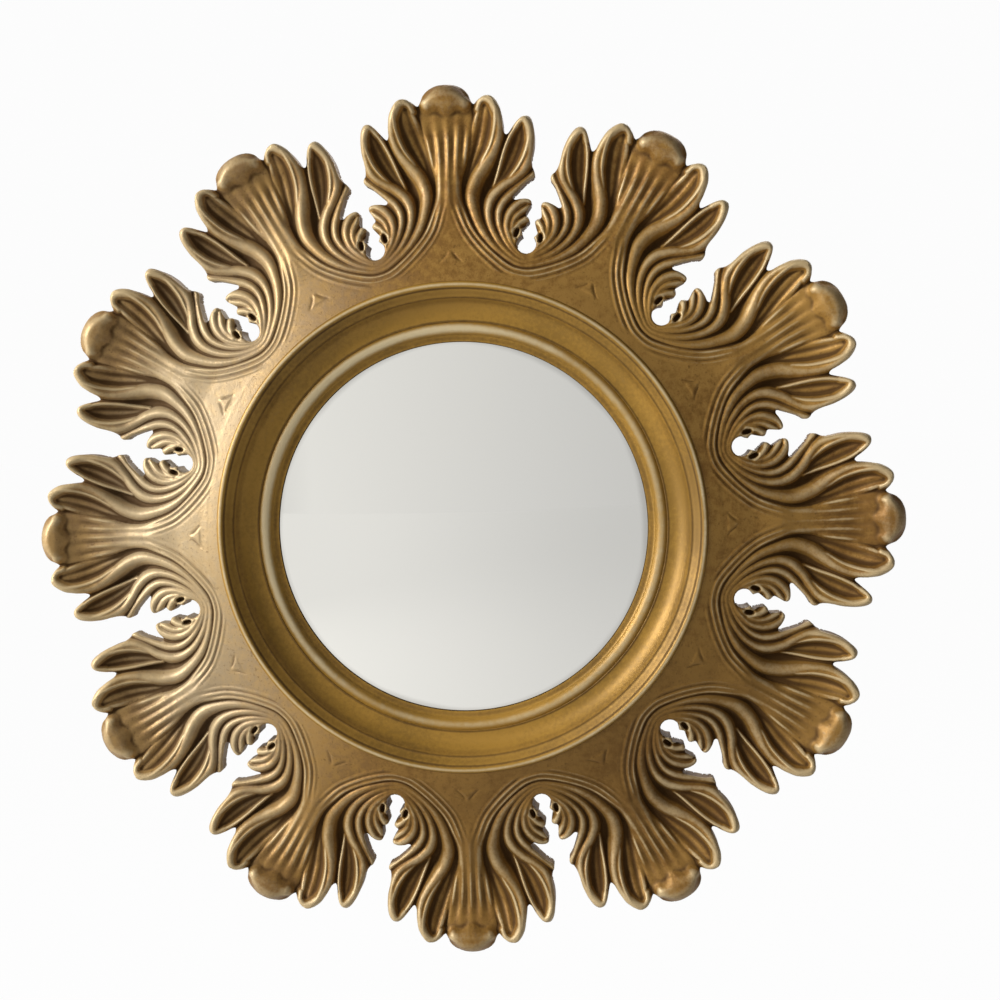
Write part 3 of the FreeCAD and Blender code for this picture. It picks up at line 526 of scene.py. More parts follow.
def store(piece: bpy.types.Object, name: str, values: np.ndarray) -> None:
    """Stores one number per vertex on a mesh."""
    attribute = piece.data.attributes.new(name, "FLOAT", "POINT")
    attribute.data.foreach_set("value", np.asarray(values, np.float32))


def coordinates(piece: bpy.types.Object) -> np.ndarray:
    """The vertices of a mesh as rows."""
    flat = np.zeros(len(piece.data.vertices) * 3, np.float32)
    piece.data.vertices.foreach_get("co", flat)
    return flat.reshape(-1, 3)


def turned_shell(section: list | np.ndarray, sides: int) -> tuple[np.ndarray, list]:
    """Turns an open section about the Z axis.

    Args:
        section: radius and height of each of its points.
        sides: how many steps the turn has.

    Returns:
        The points, ring after ring, and the faces between the rings.
    """
    turn = 2 * math.pi * np.arange(sides) / sides
    cos, sin = np.cos(turn), np.sin(turn)
    points = np.vstack([np.column_stack([r * cos, r * sin, np.full(sides, h)]) for r, h in section])
    faces = []
    for ring in range(len(section) - 1):
        upper, lower = ring * sides, (ring + 1) * sides
        for here in range(sides):
            after = (here + 1) % sides
            faces.append((upper + here, upper + after, lower + after, lower + here))
    return points, faces


def stand(piece: bpy.types.Object) -> None:
    """Turns a mesh drawn flat, with its height along Z, up onto the wall."""
    piece.data.transform(STAND_UP)
    piece.data.update()


def turn_outwards(piece: bpy.types.Object) -> None:
    """Merges doubled vertices and points every face outwards."""
    work = bmesh.new()
    work.from_mesh(piece.data)
    bmesh.ops.remove_doubles(work, verts=work.verts, dist=1e-6)
    bmesh.ops.recalc_face_normals(work, faces=work.faces)
    work.to_mesh(piece.data)
    work.free()
    piece.data.update()


def smooth_by_angle(piece: bpy.types.Object, degrees: float) -> None:
    """Shades a mesh smooth, with its edges sharper than an angle kept sharp."""
    piece.data.polygons.foreach_set("use_smooth", [True] * len(piece.data.polygons))
    piece.data.set_sharp_from_angle(angle=math.radians(degrees))


def seat(piece: bpy.types.Object, node: str) -> None:
    """Lets a piece ride on the frame in place of a solid.

    Args:
        piece: the finished piece.
        node: the solid that it replaces.
    """
    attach(piece, FRAME_BODY)
    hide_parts(node)
    count = sum(len(face.vertices) - 2 for face in piece.data.polygons)
    LOG.info("%s: %d triangles", piece.name, count)


def dress(frame: dict, nodes: list[str], material: bpy.types.Material) -> None:
    """Gives solids their finish.

    Args:
        frame: the loaded frame.
        nodes: names of the solids.
        material: the finish.
    """
    for node in nodes:
        slots = frame["nodes"][node].data.materials
        slots.clear()
        slots.append(material)
        LOG.info("%s: dressed in %s", node, material.name)


# ----------------------------------------------------------------------------------------------- carved lines


def ease(x: np.ndarray) -> np.ndarray:
    """Smooth step from 0 to 1."""
    x = np.clip(x, 0, 1)
    return x * x * (3 - 2 * x)


def rise(x: np.ndarray, start: float, length: float) -> np.ndarray:
    """Smooth step from 0 at the start to 1 a length further on."""
    return ease((x - start) / length)


def fall(x: np.ndarray, start: float, length: float) -> np.ndarray:
    """Smooth step from 1 at the start to 0 a length further on."""
    return 1 - rise(x, start, length)


def smooth_line(points: tuple | np.ndarray, step: float) -> np.ndarray:
    """Points along a smooth line through control points.

    Args:
        points: control points; the first two columns are places, the rest ride along.
        step: rough distance between the points made.

    Returns:
        One row per point made.
    """
    p = np.asarray(points, float)
    padded = np.vstack([2 * p[0] - p[1], p, 2 * p[-1] - p[-2]])
    rows = []
    for a, b, c, d in zip(padded[:-3], padded[1:-2], padded[2:-1], padded[3:]):
        count = max(2, int(np.ceil(np.hypot(*(c - b)[:2]) / step)))
        t = np.linspace(0, 1, count, endpoint=False)[:, None]
        square, cube = 2 * a - 5 * b + 4 * c - d, 3 * b - a - 3 * c + d
        rows.append(0.5 * (2 * b + (c - a) * t + square * t**2 + cube * t**3))
    return np.vstack([*rows, p[-1:]])


@dataclass(frozen=True)
class Strand:
    """One carved ridge, lobe or leaflet of a plume.

    Each point holds u, v, half width, and lift of the crest over the front curve. A hollowed strand also
    holds how far it is hollowed at each point: 0 is a round ridge, 1 a spoon. A strand with one rim is open
    on its right side.
    """

    name: str
    points: tuple
    hollows: tuple = ()
    one_rim: bool = False

    def rows(self) -> np.ndarray:
        """The points with their hollows as a fifth column."""
        return np.column_stack([self.points, self.hollows or np.zeros(len(self.points))])


STRANDS = (
    Strand("broad_ridge", (
        (213.9, 57.3, 1.9, 0.0), (218.8, 48.5, 2.2, 0.2), (232, 34.4, 2.8, 0.8), (246, 25.4, 4.0, 1.6),
        (261, 20.2, 4.7, 2.2), (274, 18.8, 5.0, 2.6), (287, 22.8, 4.8, 2.9), (298, 30.2, 4.4, 3.2),
        (307, 37.0, 3.8, 3.8), (316, 41.6, 3.4, 4.4), (326, 43.2, 3.2, 4.9), (336, 42.0, 3.2, 5.1),
        (343.5, 38.4, 3.0, 4.8), (346.6, 34.0, 2.6, 4.2), (345, 29.4, 2.0, 2.8), (340, 26.6, 1.6, 1.0))),
    Strand("upper_bowl", (
        (280, 14.8, 2.6, -2.4), (290, 17.6, 4.4, -0.8), (302, 22.0, 7.4, 1.0), (315, 28.0, 10.2, 2.4),
        (328, 32.4, 10.4, 3.6), (338, 34.4, 8.4, 4.2), (343, 34.9, 6.6, 3.8)),
        hollows=(0.5, 0.9, 1, 1, 1, 1, 1), one_rim=True),
    Strand("second_ridge", (
        (216.6, 58.1, 1.9, 0.1), (223, 49.2, 2.2, 0.2), (232, 41.0, 2.5, 0.5), (246, 33.9, 2.9, 1.0),
        (260, 32.0, 3.3, 1.6), (271, 35.6, 3.5, 2.2), (279.5, 43.5, 3.5, 2.8), (285.5, 53.0, 3.4, 3.4),
        (292, 61.0, 3.2, 4.0), (301, 65.6, 3.0, 4.6), (311, 67.6, 3.0, 5.0), (321, 67.6, 2.8, 5.0),
        (328.2, 65.0, 2.6, 4.6), (329.2, 61.2, 2.3, 3.8), (325, 57.0, 2.0, 2.8))),
    Strand("lower_bowl", (
        (281, 38.5, 3.0, -1.6), (289, 44.5, 6.2, 0.6), (298, 50.5, 9.4, 2.4), (307, 55.4, 10.6, 3.4),
        (316, 59.3, 9.6, 3.8), (323, 62.0, 6.8, 3.6)), hollows=(0.8, 1, 1, 1, 1, 1)),
    Strand("third_ridge", (
        (219.2, 58.8, 1.3, 0.0), (226, 51.2, 1.7, 0.2), (236, 44.6, 2.0, 0.8), (248, 40.6, 2.3, 1.4),
        (259, 40.4, 2.6, 2.0), (268, 44.6, 2.9, 2.4), (275, 51.6, 3.2, 2.6), (281, 59.0, 3.3, 2.4),
        (286.6, 66.0, 2.8, 1.6), (289.5, 69.6, 2.0, 0.8))),
    Strand("upper_leaflet", (
        (221.6, 59.4, 1.4, 0.2), (227.5, 53.2, 1.8, 0.8), (236, 48.6, 2.2, 1.4), (246, 46.2, 2.6, 2.0),
        (256, 48.4, 3.0, 2.6), (263, 53.6, 3.2, 2.8), (267.2, 60.0, 2.8, 2.4), (267.4, 64.6, 2.0, 1.6))),
    Strand("leaflet_rib", (
        (242, 50.2, 1.6, 1.4), (250, 51.6, 2.2, 2.0), (256, 55.2, 2.5, 2.2), (260.4, 60.6, 2.2, 1.8),
        (262.5, 64.0, 1.6, 1.2))),
    Strand("lower_leaflet", (
        (223.5, 60.0, 1.2, 0.2), (229, 55.2, 1.5, 0.8), (236, 52.2, 1.9, 1.4), (243.5, 52.6, 2.2, 1.8),
        (249, 56.4, 2.4, 2.0), (252, 61.6, 2.0, 1.4))),
    Strand("curl", (
        (229.5, 57.4, 1.2, 0.6), (234.2, 55.4, 1.6, 1.4), (239.4, 56.0, 2.0, 1.8), (242.6, 58.6, 1.6, 1.0))),
)


@dataclass(frozen=True)
class StrandSection:
    """The shape across a strand, in shares of its half width, from 0 at its middle to 1 at its edge."""

    drop: float = 0.62
    ridge_steepness: float = 2.6
    rim_place: float = 0.80
    rim_drop: float = 0.33
    rim_steepness: float = 6.0
    bowl_power: float = 1.3
    tilt: float = 0.14
    open_rise: float = 0.10
    open_steepness: float = 3.0
    flute_depth: float = 0.075
    flute_waves: float = 2.6
    flute_phase: float = 0.5

    def height(self, x: np.ndarray, width: np.ndarray, hollow: np.ndarray, side: np.ndarray,
               one_rim: bool) -> np.ndarray:
        """Works out the height across a strand.

        Args:
            x: share of the half width.
            width: half width.
            hollow: how far the strand is hollowed.
            side: 1 on its left side, -1 on its right.
            one_rim: whether its right side is open.

        Returns:
            The height against the crest.
        """
        beyond = np.maximum(x - 1, 0)
        ridge = -self.drop * width * np.where(x < 1, x**2, 1 + self.ridge_steepness * beyond)
        bowl = -self.drop * width * np.clip(1 - (x / self.rim_place)**2, 0, 1)**self.bowl_power
        lip = -self.rim_drop * width * ((x - self.rim_place) / (1 - self.rim_place))**2
        spoon = np.where(x < self.rim_place, bowl, lip)
        spoon = np.where(x > 1, -self.rim_drop * width * (1 + self.rim_steepness * beyond), spoon)
        spoon += self.tilt * width * side * np.clip(x, 0, 1.2)
        if one_rim:
            flat = width * (self.open_rise * x**2 - self.drop - self.open_steepness * beyond)
            spoon = np.where(side < 0, flat, spoon)
        waves = np.cos(math.pi * self.flute_waves * x * side + self.flute_phase)
        flutes = self.flute_depth * width * waves * ease((1 - x) * 4)
        return (1 - hollow) * ridge + hollow * (spoon + flutes)


# ----------------------------------------------------------------------------------------------------- plumes


@dataclass
class PlumeCarver:
    """Carves one leaf plume as a fine height field, in millimetres on the plume's own axes."""

    step: float = 0.6
    line_step: float = 0.8
    length: float = 360.0
    half_width: float = 74.0
    root_radius: float = 203.05
    half_angle: float = math.radians(15)
    joint_reach: float = 0.004
    keyhole: tuple = (231.34, 61.99, 8.0)
    floor_depth: float = 6.5
    collar_edge: float = 213.8
    collar_blend: float = 3.4
    collar_lift: float = 0.3
    edge_round: float = 2.0
    edge_wear_and_highlight: float = 0.12
    softness: float = 0.55
    back_height: float = 8.0
    tip_back_height: float = 17.0
    back_inset: float = 1.4
    front_curve: tuple = (
        (201, 44), (210, 41.6), (218, 39), (239.5, 34), (262, 28.6), (290.1, 25), (318, 29.5), (335, 35.5),
        (347.95, 38.5), (357, 36.5), (367.2, 29.5))
    side: tuple = (
        (360.0, 0), (359.4, 7.5), (356.9, 13.8), (352.2, 18.6), (346.4, 21.0), (344.6, 23.4), (347.4, 28.0),
        (350.2, 34.0), (347.8, 40.0), (340, 44.8), (330, 46.6), (323, 47.0), (321.2, 49.2), (324.5, 53.0),
        (330.0, 58.5), (333.2, 63.6), (331.6, 68.4), (323, 71.0), (312, 70.9), (303, 69.0), (296.5, 68.4),
        (291, 70.2), (286.8, 69.6), (283, 63.5), (277.5, 57.2), (271.8, 51.6), (269.6, 52.6), (269.6, 58.0),
        (269, 64.6), (265.6, 66.8), (260, 63.6), (256.4, 61.8), (254, 63.4), (251, 64.6), (247.0, 61.5),
        (243.2, 58.2), (240.2, 58.6))
    deep_groove: tuple = (
        (212.2, 56.9), (213.9, 51), (221, 42), (232, 31), (246, 20.5), (262, 14.4), (274, 11.4), (286, 11.6),
        (300, 15), (318, 20.5), (334, 24.0), (345, 23.5), (356, 24))
    groove_depth: float = 2.6
    groove_wall: float = 3.2
    fan_flutes: float = 0.85
    waist_flutes: float = 0.34
    ripple_depth: float = 0.75
    ripple_pitch: float = 4.6
    tip_roll: tuple = ((345.6, 15.5, 5.6), (348.2, 10.5, 7.6), (349.8, 5.0, 9.2), (350.2, 0, 9.4))
    roll_height: float = 43.6
    roll_fall: float = 8.4
    roll_droop: float = 0.011
    roll_blend: float = 1.6
    dart_foot: float = 218.5
    dart_length: float = 11.0
    dart_half_width: float = 8.0
    dart_height: float = 0.5
    dart_cut: float = 0.8
    eye_place: tuple = (241.0, 54.0, 3.8, 2.0)
    eye_depth: float = 6.0
    blurs: tuple = (1.0, 2.6, 7.0)
    dirt_and_shade_weights: tuple = (0.75, 0.34, 0.10)
    wear_and_highlight_weights: tuple = (-1.1, -0.36, -0.05)
    most_mark: float = 1.3
    nodes: np.ndarray = field(init=False, default=None)
    quads: np.ndarray = field(init=False, default=None)
    recess: np.ndarray = field(init=False, default=None)
    ridge: np.ndarray = field(init=False, default=None)
    loop: np.ndarray = field(init=False, default=None)
    free: np.ndarray = field(init=False, default=None)

    def front_height(self, radius: np.ndarray) -> np.ndarray:
        """Height of the plain front at a radius."""
        table = smooth_line(self.front_curve, 0.5)
        return np.interp(radius, table[:, 0], table[:, 1])

    def free_edge(self) -> np.ndarray:
        """Half of the carved outline: from the tip down one side and round the keyhole to the butt joint."""
        side = smooth_line(self.side, self.step)
        ku, kv, kr = self.keyhole
        start = math.atan2(side[-1, 1] - kv, side[-1, 0] - ku)
        start = start if start < 0 else start - 2 * math.pi
        sweep = np.linspace(start, self.half_angle - math.pi, 40)
        hole = np.column_stack([ku + kr * np.cos(sweep), kv + kr * np.sin(sweep)])
        return np.vstack([side, hole])

    def joint_edge(self, start: np.ndarray) -> np.ndarray:
        """Half of the jointed outline: down the butt joint from the keyhole and along the root."""
        root = self.root_radius * np.array([math.cos(self.half_angle), math.sin(self.half_angle)])
        butt = start + (root - start) * np.linspace(0, 1, 60)[1:, None]
        turn = np.linspace(self.half_angle, 0, 90)[1:]
        return np.vstack([butt, self.root_radius * np.column_stack([np.cos(turn), np.sin(turn)])])

    @staticmethod
    def nearest(place: np.ndarray, line: np.ndarray) -> tuple[np.ndarray, np.ndarray]:
        """Finds the nearest point of a line to each place.

        Args:
            place: one row per place.
            line: one row per point of the line.

        Returns:
            The squared distances, and the numbers of the points.
        """
        square, pick = np.empty(len(place)), np.empty(len(place), int)
        part = 16000
        for start in range(0, len(place), part):
            rows = place[start:start + part]
            away = (rows[:, None, 0] - line[None, :, 0])**2 + (rows[:, None, 1] - line[None, :, 1])**2
            best = away.argmin(1)
            pick[start:start + part] = best
            square[start:start + part] = away[np.arange(len(rows)), best]
        return square, pick

    def beside(self, u: np.ndarray, v: np.ndarray, line: np.ndarray) -> tuple[np.ndarray, ...]:
        """Places a grid against a line.

        Args:
            u: places along the plume.
            v: places across it.
            line: one row per point.

        Returns:
            The distance, the side (1 left of the line's way, -1 right), and the nearest point's row.
        """
        flat = np.column_stack([u.ravel(), v.ravel()])
        square, pick = self.nearest(flat, line)
        way = np.gradient(line[:, :2], axis=0)
        side = way[pick, 0] * (flat[:, 1] - line[pick, 1]) - way[pick, 1] * (flat[:, 0] - line[pick, 0])
        reach, row = np.sqrt(square).reshape(u.shape), line[pick].reshape(*u.shape, -1)
        return reach, np.sign(side).reshape(u.shape), row

    def blur(self, values: np.ndarray, sigma: float) -> np.ndarray:
        """Smooths a grid along both ways by sigma millimetres."""
        reach = int(math.ceil(3 * sigma / self.step))
        weights = np.exp(-0.5 * (np.arange(-reach, reach + 1) * self.step / sigma)**2)
        weights /= weights.sum()
        for axis in (0, 1):
            margin = [(reach, reach) if a == axis else (0, 0) for a in (0, 1)]
            padded = np.pad(values, margin, mode="edge")
            count = values.shape[axis]
            spans = (np.take(padded, range(k, k + count), axis=axis) for k in range(len(weights)))
            values = sum(weight * span for weight, span in zip(weights, spans))
        return values

    def across_joint(self, points: np.ndarray) -> np.ndarray:
        """Leads a line that starts on the butt joint over it, so that it crosses the joint square.

        Args:
            points: the line's control points.

        Returns:
            The points, with the second one mirrored over the joint put first.
        """
        if abs(math.atan2(points[0, 1], points[0, 0]) - self.half_angle) > self.joint_reach:
            return points
        turn = 2 * self.half_angle
        (u, v), mirrored = points[1, :2], points[1].copy()
        mirrored[:2] = u * math.cos(turn) + v * math.sin(turn), u * math.sin(turn) - v * math.cos(turn)
        return np.vstack([mirrored, points])

    def drawn(self, points: tuple | np.ndarray) -> np.ndarray:
        """A carved line as close points, run round its bend by the joint in one sweep.

        Args:
            points: the line's control points.

        Returns:
            One row per point.
        """
        line = smooth_line(self.across_joint(np.asarray(points, float)), self.line_step)
        inner = fall(line[:, 0], 238, 16)[1:-1, None]
        for _ in range(60):
            line[1:-1] += 0.25 * inner * (line[:-2] - 2 * line[1:-1] + line[2:])
        return line

    def stem(self, u: np.ndarray, v: np.ndarray, base: np.ndarray) -> np.ndarray:
        """Height of the middle stem, its fan of flutes and the rippled foot between the deep grooves."""
        groove = self.drawn(self.deep_groove)
        reach, side, _ = self.beside(u, v, groove)
        inset = -reach * side
        x = v / np.interp(u, groove[:, 0], groove[:, 1])
        fan = rise(u, 276, 44)
        waist = rise(u, 248, 20) * fall(u, 300, 30)
        depth = (self.fan_flutes * fan + self.waist_flutes * waist) * fall(u, 316, 26)
        flutes = depth * np.cos(math.pi * (3 + 2 * fan) * x + 0.15)
        waves = np.cos(2 * math.pi * (inset - 1.9) / self.ripple_pitch)
        ripple = self.ripple_depth * waves * fall(u, 250, 24) * fall(inset, 8, 8)
        crown = 0.6 + 3.4 * rise(u, 238, 26) * fall(u, 300, 34) - 2.4 * fan
        wall = self.groove_depth * (1 - np.clip(inset / self.groove_wall, 0, 1))**2
        body = base + crown + flutes + ripple - wall - 2.6 * x**2 * rise(u, 246, 20)
        return np.where(inset < 0, body + 3.0 * inset, body)

    def relief(self, u: np.ndarray, v: np.ndarray) -> np.ndarray:
        """Height of the carved front on one half of the plume.

        Args:
            u: grid of places along the plume.
            v: grid of places across it, from 0 up.

        Returns:
            Heights above the wall.
        """
        radius = np.hypot(u, v)
        base = self.front_height(radius)
        height = np.maximum(base - self.floor_depth, self.stem(u, v, base))
        shape = StrandSection()
        for strand in STRANDS:
            reach, side, at = self.beside(u, v, self.drawn(strand.rows()))
            width = at[..., 2]
            section = shape.height(reach / width, width, at[..., 4], side, strand.one_rim)
            height = np.maximum(height, base + at[..., 3] + section)
        collar = ease((self.collar_edge - radius) / self.collar_blend)
        height = height * (1 - collar) + (base + self.collar_lift) * collar
        height += self.dart(u, v) - self.eye(u, v)
        return self.rolled(u, v, height)

    def rolled(self, u: np.ndarray, v: np.ndarray, height: np.ndarray) -> np.ndarray:
        """Blends the rolled tip into the front."""
        reach, _, at = self.beside(u, v, smooth_line(self.tip_roll, self.step))
        x = reach / (at[..., 2] * (1 + 0.45 * ease((349.5 - u) / 5)))
        dome = self.roll_height - self.roll_droop * v**2 - self.roll_fall * x**2 - np.maximum(x - 1, 0) * 10
        return self.roll_blend * np.logaddexp(height / self.roll_blend, dome / self.roll_blend)

    def dart(self, u: np.ndarray, v: np.ndarray) -> np.ndarray:
        """Small raised dart with hollow sides, at the foot of the stem."""
        half = self.dart_half_width * (1 - np.clip((u - self.dart_foot) / self.dart_length, 0, 1))**1.6 + 0.4
        end = self.dart_foot + self.dart_length
        body = ease((1.1 - v / half) / 0.5) * rise(u, self.dart_foot, 1.4) * ease((end - u) / 4)
        cut = np.exp(-((v - half - 0.9) / 0.9)**2) * rise(u, self.dart_foot - 1, 2) * ease((end - 1 - u) / 4)
        return self.dart_height * body - self.dart_cut * cut

    def eye(self, u: np.ndarray, v: np.ndarray) -> np.ndarray:
        """Deep drilled eye under the curl of the lower leaflet."""
        eu, ev, long, wide = self.eye_place
        away = np.hypot((u - eu) / long, (v - ev - 0.25 * (u - eu)) / wide)
        return self.eye_depth * ease((1.25 - away) / 0.6)

    def carve(self) -> None:
        """Works out the plume's mesh once: its nodes, faces, edge loop, the dirt and painted shade in its
        hollows, and the wear and painted highlight on its ridges.
        """
        us = np.arange(self.root_radius * math.cos(self.half_angle) - 2, self.length + 4, self.step)
        half = np.arange(0, self.half_width, self.step)
        side = self.relief(*np.meshgrid(us, half, indexing="ij"))
        vs = np.concatenate([-half[:0:-1], half])
        height = self.blur(np.hstack([side[:, :0:-1], side]), self.softness)
        free = self.free_edge()
        loop = np.vstack([free, self.joint_edge(free[-1])])
        loop = np.vstack([loop, (loop * BOTH_SIDES)[-2:0:-1]])
        within, near = self.place_in_loop(*np.meshgrid(us, vs, indexing="ij"), loop)
        # hollows give dirt and painted shade, crests give wear and painted highlight
        bends = [self.blur(height, sigma) - height for sigma in self.blurs]
        marks = [sum(weight * bend for weight, bend in zip(weights, bends))
                 for weights in (self.dirt_and_shade_weights, self.wear_and_highlight_weights)]
        recess, ridge = (np.clip(mark, 0, self.most_mark) for mark in marks)
        free_both = np.vstack([free, free * BOTH_SIDES])
        self._mesh(us, vs, (height, recess, ridge), within, near, free_both)

    @staticmethod
    def place_in_loop(u: np.ndarray, v: np.ndarray, loop: np.ndarray) -> tuple[np.ndarray, np.ndarray]:
        """Tells where points lie against a closed loop.

        Args:
            u: places along the plume.
            v: places across it.
            loop: the loop's points.

        Returns:
            Whether each lies inside, and the nearest point of the loop.
        """
        within = np.zeros(u.shape, bool)
        best = np.full(u.shape, 1e9)
        near = np.zeros(u.shape + (2,))
        for (au, av), (bu, bv) in zip(loop, np.roll(loop, -1, 0)):
            du, dv = bu - au, bv - av
            square = du * du + dv * dv
            if square < 1e-12:
                continue
            if dv:
                within ^= ((av > v) != (bv > v)) & (u < au + (v - av) * du / dv)
            t = np.clip(((u - au) * du + (v - av) * dv) / square, 0, 1)
            qu, qv = au + t * du, av + t * dv
            reach = (u - qu)**2 + (v - qv)**2
            closer = reach < best
            best[closer] = reach[closer]
            near[closer, 0] = qu[closer]
            near[closer, 1] = qv[closer]
        return within, near

    def _mesh(self, us: np.ndarray, vs: np.ndarray, grids: tuple, within: np.ndarray, near: np.ndarray,
              free: np.ndarray) -> None:
        """Turns the grids into nodes, faces and an edge loop, with the border snapped to the outline.

        Args:
            us: the grid's places along the plume.
            vs: the grid's places across it.
            grids: height, dirt with painted shade, and wear with painted highlight at each node.
            within: whether each node lies inside the outline.
            near: the outline's nearest point to each node.
            free: the outline's carved stretches, as close points.
        """
        around = np.zeros_like(within)
        for du in (-1, 0, 1):
            for dv in (-1, 0, 1):
                around |= np.roll(np.roll(within, du, 0), dv, 1)
        used = within | around
        cells = used[:-1, :-1] & used[1:, :-1] & used[1:, 1:] & used[:-1, 1:]
        cells &= within[:-1, :-1] | within[1:, :-1] | within[1:, 1:] | within[:-1, 1:]
        i, j = np.nonzero(cells)
        columns = len(vs)
        first = i * columns + j
        corners = np.column_stack([first, first + columns, first + columns + 1, first + 1])
        kept, flat = np.unique(corners, return_inverse=True)
        self.quads = flat.reshape(corners.shape)
        iu, iv = np.divmod(kept, columns)
        inside = within[iu, iv]
        place = np.column_stack([us[iu], vs[iv]])
        place[~inside] = near[iu, iv][~inside]
        rows = (place[:, 0] - us[0]) / self.step
        cols = (place[:, 1] - vs[0]) / self.step
        height, recess, ridge = (self.sample(grid, rows, cols) for grid in grids)
        gap = np.sqrt(self.nearest(place, free)[0])
        edge = np.clip(1 - gap / self.edge_round, 0, 1)
        self.nodes = np.column_stack([place, height - self.edge_round * (1 - np.sqrt(1 - edge**2))])
        self.recess = np.clip(recess, 0, self.most_mark)
        # carved edges are paler: partly wear, partly painted highlight
        self.ridge = np.clip(ridge + self.edge_wear_and_highlight * edge, 0, self.most_mark)
        self.loop = self.edge_loop(self.quads)
        self.free = gap < 0.05

    @staticmethod
    def sample(grid: np.ndarray, rows: np.ndarray, cols: np.ndarray) -> np.ndarray:
        """Reads a grid between its nodes."""
        r0 = np.clip(np.floor(rows).astype(int), 0, grid.shape[0] - 2)
        c0 = np.clip(np.floor(cols).astype(int), 0, grid.shape[1] - 2)
        fr, fc = rows - r0, cols - c0
        low = grid[r0, c0] * (1 - fc) + grid[r0, c0 + 1] * fc
        high = grid[r0 + 1, c0] * (1 - fc) + grid[r0 + 1, c0 + 1] * fc
        return low * (1 - fr) + high * fr

    @staticmethod
    def edge_loop(quads: np.ndarray) -> np.ndarray:
        """The longest border of a quad mesh, in order."""
        ways = np.vstack([quads[:, [k, (k + 1) % 4]] for k in range(4)])
        known = {tuple(way) for way in ways.tolist()}
        following = {a: b for a, b in known if (b, a) not in known}
        best: list[int] = []
        while following:
            start, _ = next(iter(following.items()))
            chain = [start]
            step = following.pop(start)
            while step != start and step in following:
                chain.append(step)
                step = following.pop(step)
            best = max(best, chain, key=len)
        return np.array(best)


